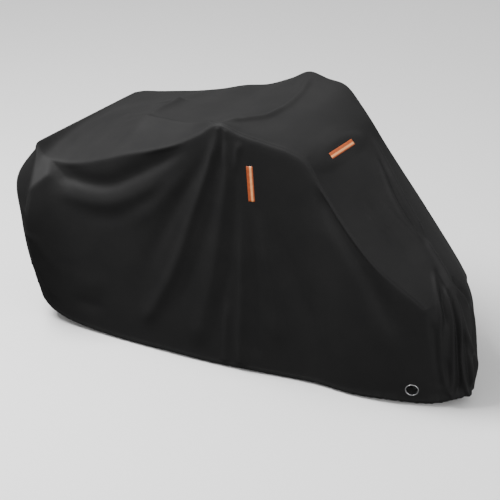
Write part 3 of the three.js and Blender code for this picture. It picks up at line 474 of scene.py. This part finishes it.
rim_path = [
    (knot, RIM["inset"] - row[1])
    for knot, row in zip(SEAM_KNOTS[RIM["first"]:], NEAR_STATIONS[RIM["first"]:])
]
MIDDLE_CREASES.append(
    fold("rim beside the near front edge", RIM["depth"], (RIM["width"], RIM["width"]), (0.1, 0.05),
         rim_path)
)


def into_side(side, b):
    u = np.clip(b, 0, SEAM_LENGTH)
    v = down_corner(b)
    here = edge_base(side, b)
    down = unit(side_base(side, u, v + PROBE / column_length(side, u)) - here)
    behind = u < SEAM_LENGTH / 2
    along = unit(side_base(side, u + np.where(behind, PROBE, -PROBE), v) - here)
    at_rear = ease(CORNER_BLEND, -CORNER_BLEND, b)
    at_front = ease(-CORNER_BLEND, CORNER_BLEND, b - SEAM_LENGTH)
    turned = np.where(behind, at_rear, at_front)[..., None]
    return unit(down * (1 - turned) + along * turned)


def seam_bend(side, b):
    """How the bend at the seam is softened: towards where the seam sinks, how far, and how wide."""
    b = np.asarray(b, float)
    here = edge_base(side, b)
    inner = side["sign"] * (1 - 2 * PROBE / band_width(b))
    inside = into_side(side, b) + unit(middle_base(b, inner) - here)
    sharpness = length_of(inside) / 2
    corner = np.where(b < 0, REAR_CORNER_SOFTNESS, FRONT_CORNER_SOFTNESS)
    share = np.where(b < 0, ease(0, -CORNER_BLEND, b), ease(SEAM_LENGTH, SEAM_LENGTH + CORNER_BLEND, b))
    along = side["table"](np.clip(b, 0, SEAM_LENGTH))[..., SOFTNESS]
    softness = along * (1 - share) + corner * share
    steep = sharpness / np.sqrt(np.maximum(1 - sharpness ** 2, LEAST_COSINE_SQUARE))
    return unit(inside), softness, softness * np.minimum(steep, MOST_STEEP)


def side_smooth(side, u, v):
    """The side with its seams softened, for u as a column and v as a row of places."""
    inside, softness, sink = seam_bend(side, u)
    down = np.exp(-v * column_length(side, u) / softness)
    from_rear = np.exp(-u / REAR_CORNER_SOFTNESS)
    from_front = np.exp(-(SEAM_LENGTH - u) / FRONT_CORNER_SOFTNESS)
    point = side_base(side, u, v) + inside * (sink * down)[..., None]
    pulls = [
        (-v * REAR_LENGTH, from_rear),
        (np.zeros_like(v), -from_rear * down),
        (SEAM_LENGTH + v * FRONT_LENGTH, from_front),
        (np.full_like(v, SEAM_LENGTH), -from_front * down),
    ]
    for b, weight in pulls:
        inside, _, sink = seam_bend(side, b)
        point = point + inside * (sink * weight)[..., None]
    return point


def middle_smooth(b, t):
    """The middle panel with its seams and its turn from slope to front face softened."""
    point = middle_base(b, t)
    half = band_width(b) / 2
    nose = np.full_like(np.asarray(b, float), SEAM_LENGTH)
    here = middle_base(nose, t)
    inside = unit(middle_base(nose - PROBE, t) - here) + unit(middle_base(nose + PROBE, t) - here)
    sharpness = length_of(inside) / 2
    sink = NOSE_SOFTNESS * sharpness / np.sqrt(np.maximum(1 - sharpness ** 2, LEAST_COSINE_SQUARE))
    inner = ease(0, NOSE_WINDOW, half * (1 - np.abs(t)))
    sink = sink * np.exp(-np.abs(b - nose) / NOSE_SOFTNESS) * inner
    point = point + unit(inside) * sink[..., None]
    for side in (NEAR, FAR):
        inside, softness, sink = seam_bend(side, b)
        distance = half * (1 - side["sign"] * t)
        point = point + inside * (sink * np.exp(-distance / softness))[..., None]
    return point


def sampled(path):
    knots = running(path)
    count = SAMPLES_PER_POINT * len(path)
    return smooth_table(knots, path)(np.linspace(0, knots[-1], count + 1))


def fold_height(folds, p, q):
    """How far the folds raise the points (p, q) of a panel's own plane, in mm."""
    total = np.zeros(p.shape)
    for row in folds:
        points = sampled(row["path"])
        marks = running(points)
        best = np.full(p.shape, np.inf)
        share = np.zeros(p.shape)
        on_left = np.zeros(p.shape, bool)
        for i in range(len(points) - 1):
            dx, dy = points[i + 1] - points[i]
            length = math.hypot(dx, dy)
            px, py = p - points[i][0], q - points[i][1]
            t = np.clip((px * dx + py * dy) / length ** 2, 0, 1)
            distance = np.hypot(px - t * dx, py - t * dy)
            closer = distance < best
            best = np.where(closer, distance, best)
            share = np.where(closer, (marks[i] + t * length) / marks[-1], share)
            on_left = np.where(closer, dx * py > dy * px, on_left)
        width = row["width"][0] + (row["width"][1] - row["width"][0]) * share
        rise = ease(0, row["fade"][0], share) * (1 - ease(1 - row["fade"][1], 1, share))
        away = best / (width * (1 + np.where(on_left, row["lean"], -row["lean"])))
        round_crest = np.exp(-away ** 2)
        sharp_crest = np.exp(CREST - np.hypot(away, CREST)) ** CREST_POWER
        total += row["depth"] * rise * (round_crest + (sharp_crest - round_crest) * row["crisp"])
    return total


def mirrored(folds):
    """The same folds for the far side, each moved and deepened a little."""
    return [
        row | {
            "depth": row["depth"] * (
                FAR_FOLD["depth"] + FAR_FOLD["swing"] * math.sin(FAR_FOLD["swing_pace"] * i)
            ),
            "path": [
                (x + FAR_FOLD["shift"] * math.cos(FAR_FOLD["shift_pace"] * i), z)
                for x, z in row["path"]
            ],
        }
        for i, row in enumerate(folds)
    ]


NEAR["folds"], NEAR["creases"] = SIDE_FOLDS, SIDE_CREASES
FAR["folds"], FAR["creases"] = mirrored(SIDE_FOLDS), mirrored(SIDE_CREASES)


def soft_lower(a, b, bend):
    """The lower of two heights, with a soft bend of the given size where they meet."""
    return (a + b - np.hypot(a - b, 2 * bend)) / 2


droop_reach = smooth_table(DROOP["reach_x"], [(reach,) for reach in DROOP["reach"]])


def drooping_corner(side, u, x, z):
    """How far the cloth stands out at the rear corner, where it falls aslant and then hangs."""
    drop = side["table"](u)[..., 2] - z
    reach = droop_reach(x)[..., 0] * ease(*DROOP["fade_z"], z)
    rear = np.interp(-z, (-DROOP["rear_z"][0], -DROOP["rear_z"][1]), DROOP["rear_x"])
    front = DROOP["front_x"] + DROOP["front_lean"] * (DROOP["eave_z"] - z)
    height = soft_lower(drop * DROOP["slope"], reach, DROOP["lip"])
    height = soft_lower(height, (x - rear) * DROOP["rear_slope"], DROOP["lip"])
    return np.maximum(0, soft_lower(height, (front - x) * DROOP["front_slope"], DROOP["lip"]))


def side_normal(side, u, v):
    step_v = SMALL_STEP / SIDE_SPAN
    along_u = side_base(side, u + SMALL_STEP, v) - side_base(side, u - SMALL_STEP, v)
    along_v = side_base(side, u, v + step_v) - side_base(side, u, v - step_v)
    return unit(np.cross(along_u, along_v)) * side["sign"]


def middle_normal(b, t):
    step_t = SMALL_STEP / MIDDLE_SPAN
    along_b = middle_base(b + SMALL_STEP, t) - middle_base(b - SMALL_STEP, t)
    along_t = middle_base(b, t + step_t) - middle_base(b, t - step_t)
    return unit(np.cross(along_b, along_t))


def hung_hem(point, above):
    """Turns the hem in and gathers it. above is how far each point lies above the hem."""
    x, y = point[..., 0], point[..., 1]
    front = ease(*HEM["front_x"], x)
    height, turn, puff, pucker, lift = (
        HEM[name][0] + (HEM[name][1] - HEM[name][0]) * front
        for name in ("height", "turn", "puff", "pucker", "lift")
    )
    axis = np.clip(x, *HEM["axis_x"])
    inward = unit(np.stack([axis - x, -y, np.zeros_like(x)], -1))
    turns = (x + y * HEM["slant"]) * 2 * math.pi
    wave = sum(share * np.sin(turns / pitch) for pitch, share in HEM["waves"])
    low = 1 - ease(0, 1, above / height)
    puckered = 1 - ease(0, 1, above / (HEM["pucker_reach"] * height))
    long_wave = 1 + np.sin(x * 2 * math.pi / HEM["lift_pitch"] + HEM["lift_phase"] * front)
    near_hem = 1 - ease(0, HEM["lift_reach"], above)
    swollen = ease(0, 1, above / height) * puckered
    point = point + inward * (turn * low ** 2 - puff * swollen + pucker * wave * puckered)[..., None]
    point[..., 2] += lift * long_wave / 2 * near_hem
    return point


def side_folded(side, u, v, fine=True):
    base = side_base(side, u, v)
    from_seam = np.minimum(v * column_length(side, u), np.minimum(u, SEAM_LENGTH - u))
    x, z = base[..., 0], base[..., 2]
    height = fold_height(side["folds"], x, z) * ease(0, SEAM_WINDOW, from_seam)
    if fine:
        height = height + fold_height(side["creases"], x, z) * ease(0, FINE_WINDOW, from_seam)
    point = side_smooth(side, u, v) + side_normal(side, u, v) * height[..., None]
    point[..., 1] += side["sign"] * drooping_corner(side, u, x, z)
    return hung_hem(point, (1 - v) * column_length(side, u)) if fine else point


def middle_folded(b, t, fine=True):
    base = middle_base(b, t)
    from_seam = band_width(b) / 2 * (1 - np.abs(t))
    y = base[..., 1]
    place = np.broadcast_to(b, y.shape)
    height = fold_height(MIDDLE_FOLDS, place, y) * ease(0, SEAM_WINDOW, from_seam)
    if fine:
        height = height + fold_height(MIDDLE_CREASES, place, y) * ease(0, FINE_WINDOW, from_seam)
    point = middle_smooth(b, t) + middle_normal(b, t) * height[..., None]
    above = np.where(b < 0, b + REAR_LENGTH, SEAM_LENGTH + FRONT_LENGTH - b)
    return hung_hem(point, above) if fine else point


def flat_spot(centre, normal, long_axis, half_length, half_width):
    """A place where the cloth lies in one plane under an eyelet or a strip."""
    long_axis = np.asarray(long_axis, float)
    long = unit(long_axis - normal * (long_axis @ normal))
    return {
        "centre": centre, "normal": normal, "long": long, "wide": np.cross(normal, long),
        "half_length": half_length, "half_width": half_width,
    }


def flatten(points, spots):
    for spot in spots:
        offset = points - spot["centre"]
        distance = np.hypot(
            offset @ spot["long"] / (spot["half_length"] + FLAT_MARGIN),
            offset @ spot["wide"] / (spot["half_width"] + FLAT_MARGIN),
        )
        depth = offset @ spot["normal"]
        share = np.where(np.abs(depth) > FLAT_MARGIN, 0, 1 - ease(1, FLAT_FADE, distance))
        points = points - spot["normal"] * (depth * share)[..., None]
    return points


def find_on_side(side, x, z):
    """The place (u, v) on a side whose point has the given x and z."""
    u, v, step = float(seam_place_at_x(x)), 0.5, 0.01
    for _ in range(SEARCH_ROUNDS):
        here = side_base(side, u, v)
        along_u = side_base(side, u + 1, v) - here
        along_v = (side_base(side, u, v + step) - here) / step
        det = along_u[0] * along_v[2] - along_v[0] * along_u[2]
        dx, dz = x - here[0], z - here[2]
        u += (dx * along_v[2] - along_v[0] * dz) / det
        v += (along_u[0] * dz - dx * along_u[2]) / det
    return np.array([[u]]), np.array([[v]])


def side_spot(side, x, z, *size):
    u, v = find_on_side(side, x, z)
    centre, normal = side_folded(side, u, v, fine=False)[0, 0], side_normal(side, u, v)[0, 0]
    return flat_spot(centre, normal, *size)


for side in (NEAR, FAR):
    side["eyelet"] = side_spot(
        side, EYELET["x"], EYELET["z"], (0, 0, 1), EYELET["outer"], EYELET["outer"],
    )
    side["strip"] = side_spot(
        side, SIDE_STRIP["x"], SIDE_STRIP["z"],
        SIDE_STRIP["slope"], SIDE_STRIP["length"] / 2, SIDE_STRIP["width"] / 2,
    )

place = np.array([[FRONT_STRIP["b"]]], float), np.array([[FRONT_STRIP["t"]]], float)
front_spot = flat_spot(
    middle_folded(*place, fine=False)[0, 0], middle_normal(*place)[0, 0],
    FRONT_STRIP["slope"], FRONT_STRIP["length"] / 2, FRONT_STRIP["width"] / 2,
)


def stops(stretches, start=0.0):
    """Grid lines from start on, with a number of even steps in each stretch."""
    lines = [start]
    for end, steps in stretches:
        lines += list(np.linspace(lines[-1], end, steps + 1)[1:])
    return np.array(lines)


seam_stretches = [
    (knot, math.ceil((knot - SEAM_KNOTS[i]) / SEAM_PITCH)) for i, knot in enumerate(SEAM_KNOTS[1:])
]
SEAM_STOPS = stops(seam_stretches)
ROW_STOPS = stops(SIDE_ROWS)
LINE_STOPS = 2 * stops(MIDDLE_LINES) - 1
BAND_STOPS = np.concatenate([
    -ROW_STOPS[::-1] * REAR_LENGTH,
    SEAM_STOPS[1:],
    SEAM_LENGTH + ROW_STOPS[1:] * FRONT_LENGTH,
])

# The outer skins of the three panels, as grids of points
near_skin, far_skin = (
    flatten(side_folded(side, SEAM_STOPS[:, None], ROW_STOPS[None, :]), [side["eyelet"], side["strip"]])
    for side in (NEAR, FAR)
)
middle_skin = flatten(middle_folded(BAND_STOPS[:, None], LINE_STOPS[None, :]), [front_spot])


def cell_normals(points):
    """Area-weighted normals of a grid's points."""
    diagonal_a = points[1:, 1:] - points[:-1, :-1]
    diagonal_b = points[:-1, 1:] - points[1:, :-1]
    face = np.cross(diagonal_a, diagonal_b)
    normals = np.zeros_like(points)
    for i in (0, 1):
        for j in (0, 1):
            normals[i:i + face.shape[0], j:j + face.shape[1]] += face
    return normals


near_normals = -cell_normals(near_skin)
far_normals = cell_normals(far_skin)
middle_normals = cell_normals(middle_skin)


def share_normals(side_normals, line):
    """Adds up the normals of a side and the middle panel where both meet along the seam."""
    rows = len(ROW_STOPS)
    columns = len(SEAM_STOPS)
    band = middle_normals[:, line]
    side_edge = np.concatenate([side_normals[0, ::-1], side_normals[1:, 0], side_normals[-1, 1:]])
    total = band + side_edge
    middle_normals[:, line] = total
    side_normals[0, ::-1] = total[:rows]
    side_normals[1:, 0] = total[rows:rows + columns - 1]
    side_normals[-1, 1:] = total[rows + columns - 1:]


share_normals(near_normals, 0)
share_normals(far_normals, -1)


def to_frame(points):
    """Table millimetres to the frame's metres."""
    return (np.asarray(points, float) + (ORIGIN_SHIFT, 0, 0)) * MM


def new_piece(name, vertices, faces, material):
    mesh = bpy.data.meshes.new(name)
    mesh.from_pydata([tuple(p) for p in vertices], [], [tuple(f) for f in faces])
    mesh.update()
    mesh.shade_smooth()
    mesh.materials.append(material)
    piece = bpy.data.objects.new(name, mesh)
    bpy.context.scene.collection.objects.link(piece)
    return piece


def sheet_piece(name, outer, inner, cells, facing, maps, material):
    """A closed sheet made of the chosen cells of a grid: an outer and an inner skin of points, and
    the rim between them. maps gives the values of its UV maps at each point. Returns the piece and
    which points it uses."""
    columns = outer.shape[1]
    i, j = np.nonzero(cells)
    corner = i * columns + j
    ring = [corner, corner + columns, corner + columns + 1, corner + 1]
    quads = np.stack(ring, 1)
    if facing < 0:
        quads = quads[:, ::-1]
    padded = np.pad(cells, 1)
    rim = []
    for di, dj, first, second in ((0, -1, 0, 1), (1, 0, 1, 2), (0, 1, 2, 3), (-1, 0, 3, 0)):
        open_side = ~padded[i + 1 + di, j + 1 + dj]
        start, end = ring[first][open_side], ring[second][open_side]
        rim.append(np.stack([end, start] if facing > 0 else [start, end], 1))
    rim = np.concatenate(rim)
    used = np.zeros(outer.shape[0] * columns, bool)
    used[quads.ravel()] = True
    number = np.cumsum(used) - 1
    count = used.sum()
    quads, rim = number[quads], number[rim]
    walls = np.stack([rim[:, 0], rim[:, 1], rim[:, 1] + count, rim[:, 0] + count], 1)
    vertices = np.concatenate([outer.reshape(-1, 3)[used], inner.reshape(-1, 3)[used]])
    faces = np.concatenate([quads, quads[:, ::-1] + count, walls])
    piece = new_piece(name, vertices, faces, material)
    loops = np.zeros(len(piece.data.loops), np.int32)
    piece.data.loops.foreach_get("vertex_index", loops)
    for map_name, values in maps.items():
        layer = piece.data.uv_layers.new(name=map_name)
        flat = np.tile(values.reshape(-1, 2)[used], (2, 1))
        layer.uv.foreach_set("vector", flat[loops].astype(np.float32).ravel())
    return piece, used


def cloth_piece(name, skin, normals, cells, facing, places, above):
    """A sheet of cloth from the chosen cells of a panel's grid. places gives each point's (u, v) on
    the cloth, and above its distance from the hem, in m."""
    normals = unit(normals)
    outer = to_frame(skin)
    inner = outer - normals * CLOTH_THICKNESS * MM
    from_hem = np.stack([places[..., 0], np.broadcast_to(above, skin.shape[:2])], -1)
    maps = {"cloth": places, "hem": from_hem}
    piece, used = sheet_piece(name, outer, inner, cells, facing, maps, cloth_finish)
    shown = normals.reshape(-1, 3)[used]
    shown = np.concatenate([shown, -shown])
    piece.data.normals_split_custom_set_from_vertices([tuple(n) for n in shown])
    return piece


# Materials

def new_material(name):
    material = bpy.data.materials.new(name)
    material.use_nodes = True
    tree = material.node_tree
    tree.nodes.clear()
    output = tree.nodes.new("ShaderNodeOutputMaterial")
    shader = tree.nodes.new("ShaderNodeBsdfPrincipled")
    tree.links.new(shader.outputs["BSDF"], output.inputs["Surface"])
    return material, tree, shader


def noise(tree, vector, scale, detail, roughness):
    texture = tree.nodes.new("ShaderNodeTexNoise")
    texture.inputs["Scale"].default_value = scale
    texture.inputs["Detail"].default_value = detail
    texture.inputs["Roughness"].default_value = roughness
    tree.links.new(vector, texture.inputs["Vector"])
    return texture.outputs["Fac"]


def ramp(tree, value, low, high, start=0.0, end=1.0):
    """Maps a value from start..end to low..high."""
    spread = tree.nodes.new("ShaderNodeMapRange")
    spread.inputs["From Min"].default_value = start
    spread.inputs["From Max"].default_value = end
    spread.inputs["To Min"].default_value = low
    spread.inputs["To Max"].default_value = high
    tree.links.new(value, spread.inputs["Value"])
    return spread.outputs["Result"]


def combine(tree, kind, a, b=0):
    math_node = tree.nodes.new("ShaderNodeMath")
    math_node.operation = kind
    for socket, value in zip(math_node.inputs, (a, b)):
        if isinstance(value, (int, float)):
            socket.default_value = value
        else:
            tree.links.new(value, socket)
    return math_node.outputs["Value"]


def mixed_colour(tree, share, first, second):
    mix = tree.nodes.new("ShaderNodeMix")
    mix.data_type = "RGBA"
    tree.links.new(share, mix.inputs["Factor"])
    for name, colour in (("A", first), ("B", second)):
        socket = next(s for s in mix.inputs if s.name == name and s.type == "RGBA")
        if isinstance(colour, tuple):
            socket.default_value = (*colour, 1)
        else:
            tree.links.new(colour, socket)
    return next(s for s in mix.outputs if s.type == "RGBA")


def bump(tree, height, distance, strength, before=None):
    node = tree.nodes.new("ShaderNodeBump")
    node.inputs["Strength"].default_value = strength
    node.inputs["Distance"].default_value = distance
    tree.links.new(height, node.inputs["Height"])
    if before is not None:
        tree.links.new(before, node.inputs["Normal"])
    return node.outputs["Normal"]


def map_axes(tree, name):
    """The two directions of one of a piece's UV maps."""
    places = tree.nodes.new("ShaderNodeUVMap")
    places.uv_map = name
    split = tree.nodes.new("ShaderNodeSeparateXYZ")
    tree.links.new(places.outputs["UV"], split.inputs["Vector"])
    return split.outputs["X"], split.outputs["Y"]


def cloth_material():
    """Black coated polyester with a fine plain weave, matte, a little dusty and rubbed in places."""
    material, tree, shader = new_material("black woven polyester")
    where = tree.nodes.new("ShaderNodeTexCoord").outputs["Object"]
    threads = []
    for axis in map_axes(tree, "cloth"):
        turns = combine(tree, "MULTIPLY", axis, math.pi / CLOTH["thread"])
        threads.append(combine(tree, "SINE", turns))
    weave = combine(tree, "MULTIPLY", *threads)
    dust = noise(tree, where, *CLOTH["dust"])
    grain = noise(tree, where, *CLOTH["grain"])
    worn = combine(tree, "ADD", ramp(tree, dust, *CLOTH["dust_wear"]),
                   ramp(tree, grain, *CLOTH["grain_wear"]))
    colour = mixed_colour(tree, worn, CLOTH["dark"], CLOTH["worn"])
    tree.links.new(colour, shader.inputs["Base Color"])
    tree.links.new(ramp(tree, dust, *CLOTH["roughness"]), shader.inputs["Roughness"])
    shader.inputs["Specular IOR Level"].default_value = CLOTH["specular"]
    shader.inputs["Sheen Weight"].default_value = CLOTH["sheen"]
    shader.inputs["Sheen Roughness"].default_value = CLOTH["sheen_roughness"]
    crumple = noise(tree, where, *CLOTH["crumple"])
    normal = bump(tree, crumple, *CLOTH["crumple_bump"])
    normal = bump(tree, grain, *CLOTH["grain_bump"], normal)
    normal = bump(tree, weave, *CLOTH["weave_bump"], normal)
    along, above = map_axes(tree, "hem")
    line = STITCHES["line"]
    from_line = combine(tree, "SUBTRACT", above, line)
    from_line = combine(tree, "ABSOLUTE", from_line)
    groove = ramp(tree, from_line, *STITCHES["groove"])
    turns = combine(tree, "MULTIPLY", along, 2 * math.pi / STITCHES["pitch"])
    dash = ramp(tree, combine(tree, "SINE", turns), *STITCHES["dash"])
    start, end = STITCHES["cloth_edge"]
    double = ramp(tree, above, 1, 0, line + start, line + end)
    sunk = combine(tree, "MULTIPLY", groove, dash)
    height = combine(tree, "SUBTRACT", double, sunk)
    tree.links.new(bump(tree, height, *STITCHES["bump"], normal), shader.inputs["Normal"])
    return material


def ring_material():
    """Nickel-plated brass, unevenly dulled by handling."""
    material, tree, shader = new_material("plated ring")
    where = tree.nodes.new("ShaderNodeTexCoord").outputs["Object"]
    wear = noise(tree, where, *RING_LOOK["wear"])
    colour = mixed_colour(tree, wear, RING_LOOK["dull"], RING_LOOK["pale"])
    tree.links.new(colour, shader.inputs["Base Color"])
    tree.links.new(ramp(tree, wear, *RING_LOOK["roughness"]), shader.inputs["Roughness"])
    shader.inputs["Metallic"].default_value = 1.0
    tree.links.new(bump(tree, wear, *RING_LOOK["bump"]), shader.inputs["Normal"])
    return material


def strip_material():
    """Orange reflective tape, rubbed in places, with a paler and glossier band along it. The band is a
    silvery reflective stripe, and its pale colour is also a painted highlight along the tape's dome.
    """
    material, tree, shader = new_material("orange reflective tape")
    across, _ = map_axes(tree, "tape")
    where = tree.nodes.new("ShaderNodeTexCoord").outputs["Object"]
    rub = noise(tree, where, *TAPE_LOOK["rub"])
    orange = mixed_colour(tree, rub, TAPE_LOOK["deep"], TAPE_LOOK["orange"])
    # Pale band: a reflective stripe whose pale colour is also a painted highlight along the tape.
    from_stripe_and_highlight = combine(tree, "SUBTRACT", across, TAPE_LOOK["stripe_and_highlight_place"])
    from_stripe_and_highlight = combine(tree, "ABSOLUTE", from_stripe_and_highlight)
    band = ramp(tree, from_stripe_and_highlight, *TAPE_LOOK["band"])
    colour = mixed_colour(tree, band, orange, TAPE_LOOK["pale"])
    tree.links.new(colour, shader.inputs["Base Color"])
    tree.links.new(ramp(tree, band, *TAPE_LOOK["roughness"]), shader.inputs["Roughness"])
    tree.links.new(bump(tree, rub, *TAPE_LOOK["bump"]), shader.inputs["Normal"])
    return material


def floor_material():
    material, _, shader = new_material("pale floor")
    shader.inputs["Base Color"].default_value = (*FLOOR["colour"], 1)
    shader.inputs["Roughness"].default_value = FLOOR["roughness"]
    return material


cloth_finish = cloth_material()
ring_finish = ring_material()
strip_finish = strip_material()

# The cloth, cut at the same lines as the frame's nodes


def side_pieces(side, skin, normals, word):
    """A side's panel, and its patch at the front hem with a round hole for the eyelet."""
    u = np.broadcast_to(SEAM_STOPS[:, None], skin.shape[:2])
    v = column_length(side, SEAM_STOPS)[:, None] * ROW_STOPS[None, :]
    places = np.stack([u, v], -1) * MM
    above = (column_length(side, SEAM_STOPS)[:, None] - v) * MM
    patch_u = seam_place_at_x(PATCH_X)
    in_patch = np.outer(
        SEAM_STOPS[:-1] > patch_u - GRID_SLACK["u"], ROW_STOPS[:-1] > PATCH_START - GRID_SLACK["v"],
    )
    rest = (side["sign"], places, above)
    panel = cloth_piece(f"{word}_panel_cloth", skin, normals, ~in_patch, *rest)
    spot = side["eyelet"]
    offset = skin - spot["centre"]
    along, wide = offset @ spot["long"], offset @ spot["wide"]
    radius = np.hypot(along, wide)
    near_spot = np.abs(offset @ spot["normal"]) < FLAT_MARGIN
    inside = (radius < EYELET["hole"]) & near_spot
    corners = [inside[:-1, :-1], inside[1:, :-1], inside[1:, 1:], inside[:-1, 1:]]
    hole = np.logical_and.reduce(corners)
    stretch = np.where(inside, EYELET["hole"] / np.maximum(radius, 1e-6), 1)[..., None]
    pushed = spot["centre"] + spot["long"] * (along[..., None] * stretch)
    pushed = pushed + spot["wide"] * (wide[..., None] * stretch)
    cut_skin = np.where(inside[..., None], pushed, skin)
    patch = cloth_piece(f"{word}_patch_cloth", cut_skin, normals, in_patch & ~hole, *rest)
    return panel, patch


def turned_piece(name, profile, steps, spot, material):
    """A ring turned from a closed profile of (radius, height), standing on a flat spot."""
    centre = spot["centre"] - spot["normal"] * (CAD_CLOTH / 2)
    angles = np.linspace(0, 2 * math.pi, steps, endpoint=False)
    around = np.cos(angles)[:, None] * spot["long"] + np.sin(angles)[:, None] * spot["wide"]
    points = [
        centre + direction * radius + spot["normal"] * height
        for direction in around for radius, height in profile
    ]
    count = len(profile)
    faces = []
    for i in range(steps):
        for k in range(count):
            a, b = i * count + k, i * count + (k + 1) % count
            c, d = (i + 1) % steps * count + (k + 1) % count, (i + 1) % steps * count + k
            faces.append((a, b, c, d))
    return new_piece(name, to_frame(points), faces, material)


def arc(centre, radius, start, end, steps):
    """Points of an arc of a profile, angles in degrees."""
    angles = np.radians(np.linspace(start, end, steps + 1))
    return [(centre[0] + radius[0] * math.cos(a), centre[1] + radius[1] * math.sin(a)) for a in angles]


def ring_piece(word, spot):
    """A rolled ring: a domed front flange, a barrel through the cloth and a flat washer behind."""
    inner, outer = EYELET["inner"], EYELET["outer"]
    top = CAD_CLOTH / 2 + RING["gap"]
    barrel = EYELET["hole"] - RING["gap"]
    dome = ((outer - inner) / 2, RING["height"])
    front = arc(((inner + outer) / 2, top), dome, 0, 180, RING["dome_steps"])
    rim, back = (-top - depth for depth in RING["washer"])
    bevel = RING["washer_bevel"]
    washer = [(inner, rim), (inner + bevel, back), (outer - bevel, back), (outer, rim), (outer, -top)]
    profile = [*front, *washer, (barrel, -top), (barrel, top)]
    return turned_piece(f"{word}_eyelet_ring", profile, RING["steps"], spot, ring_finish)


def strip_piece(name, spot):
    """A sewn tape: flat below, a little domed above, with thin edges and a slight ripple."""
    across = np.linspace(-1, 1, STRIP["across"] + 1)
    along = np.linspace(-1, 1, STRIP["along"] + 1)
    a, b = np.meshgrid(along, across, indexing="ij")
    edge = np.minimum((1 - np.abs(b)) * spot["half_width"], (1 - np.abs(a)) * spot["half_length"])
    dome = STRIP["dome"] * ease(0, spot["half_width"], edge)
    lift = STRIP["thick"] * ease(*STRIP["round"], edge) + dome
    pace_along, pace_across = STRIP["ripple_pace"]
    ripple = np.sin(a * pace_along + pace_across * b) * ease(0, STRIP["ripple_fade"], edge)
    base = spot["centre"] + spot["normal"] * STRIP["gap"]
    flat = base + a[..., None] * spot["long"] * spot["half_length"]
    flat = flat + b[..., None] * spot["wide"] * spot["half_width"]
    top = flat + spot["normal"] * (lift + STRIP["ripple"] * ripple)[..., None]
    places = np.stack([(b + 1) / 2, (a + 1) / 2], -1)
    cells = np.ones((STRIP["along"], STRIP["across"]), bool)
    maps = {"tape": places}
    piece, _ = sheet_piece(name, to_frame(top), to_frame(flat), cells, 1, maps, strip_finish)
    return piece


# Put the cover together

side_length = max(column_length(NEAR, SEAM_STOPS)) * MM
for side, skin, normals, word in (
    (NEAR, near_skin, near_normals, "right"),
    (FAR, far_skin, far_normals, "left"),
):
    panel, patch = side_pieces(side, skin, normals, word)
    ring = ring_piece(word, side["eyelet"])
    strip = strip_piece(f"{word}_tape", side["strip"])
    for piece, node, slot in (
        (panel, "side_panel", "cloth"),
        (patch, "hem_patch", "cloth"),
        (ring, "eyelet", "eyelet_metal"),
        (strip, "strip", "reflective_strip"),
    ):
        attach(piece, "root")
        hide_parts(f"{word}_{node}")

u = np.broadcast_to(BAND_STOPS[:, None], middle_skin.shape[:2])
v = band_width(BAND_STOPS)[:, None] / 2 * LINE_STOPS[None, :]
every_cell = np.ones((len(BAND_STOPS) - 1, len(LINE_STOPS) - 1), bool)
above = np.minimum(BAND_STOPS - BAND_STOPS[0], BAND_STOPS[-1] - BAND_STOPS)[:, None] * MM
middle = cloth_piece("middle_panel_cloth", middle_skin, middle_normals, every_cell, 1,
                     np.stack([u, v], -1) * MM, above)
front_tape = strip_piece("front_tape", front_spot)
for piece, node, slot in (
    (middle, "middle_panel", "cloth"),
    (front_tape, "front_strip", "reflective_strip"),
):
    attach(piece, "root")
    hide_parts(node)


# Floor, soft studio light and the camera

half = FLOOR["size"] / 2
corners = [(-half, -half, 0), (half, -half, 0), (half, half, 0), (-half, half, 0)]
floor_mesh = bpy.data.meshes.new("floor")
floor_mesh.from_pydata(corners, [], [(0, 1, 2, 3)])
floor_mesh.materials.append(floor_material())
floor = bpy.data.objects.new("floor", floor_mesh)
floor.visible_diffuse = False
floor.visible_glossy = False
bpy.context.scene.collection.objects.link(floor)

world = bpy.data.worlds.new("studio")
world.use_nodes = True
tree = world.node_tree
background = tree.nodes["Background"]
background.inputs["Color"].default_value = (1, 1, 1, 1)
direction = tree.nodes.new("ShaderNodeTexCoord").outputs["Generated"]
axes = tree.nodes.new("ShaderNodeSeparateXYZ")
tree.links.new(direction, axes.inputs["Vector"])
towards = tree.nodes.new("ShaderNodeVectorMath")
towards.operation = "DOT_PRODUCT"
towards.inputs[1].default_value = ROOM["from"]
tree.links.new(direction, towards.inputs[0])
around = ramp(tree, towards.outputs["Value"], *ROOM["around"])
below = ramp(tree, axes.outputs["Z"], *ROOM["below"])
behind = ramp(tree, axes.outputs["X"], *ROOM["behind"])
brightness = combine(tree, "MULTIPLY", around, behind)
brightness = combine(tree, "MULTIPLY", brightness, below)
tree.links.new(brightness, background.inputs["Strength"])
bpy.context.scene.world = world


def add_aimed(name, data, place, aim):
    """Puts a light or the camera at its place, turned to what it aims at."""
    holder = bpy.data.objects.new(name, data)
    holder.location = place
    holder.rotation_euler = (Vector(aim) - Vector(place)).to_track_quat("-Z", "Y").to_euler()
    bpy.context.scene.collection.objects.link(holder)
    return holder


for name, place, aim, size, power in LIGHTS:
    light = bpy.data.lights.new(name, "AREA")
    light.shape = "SQUARE"
    light.size = size
    light.energy = power
    add_aimed(name, light, place, aim)

camera_data = bpy.data.cameras.new("camera")
camera_data.lens = CAMERA["lens"]
camera_data.sensor_width = CAMERA["sensor"]
bpy.context.scene.camera = add_aimed("camera", camera_data, CAMERA["place"], CAMERA["aim"])
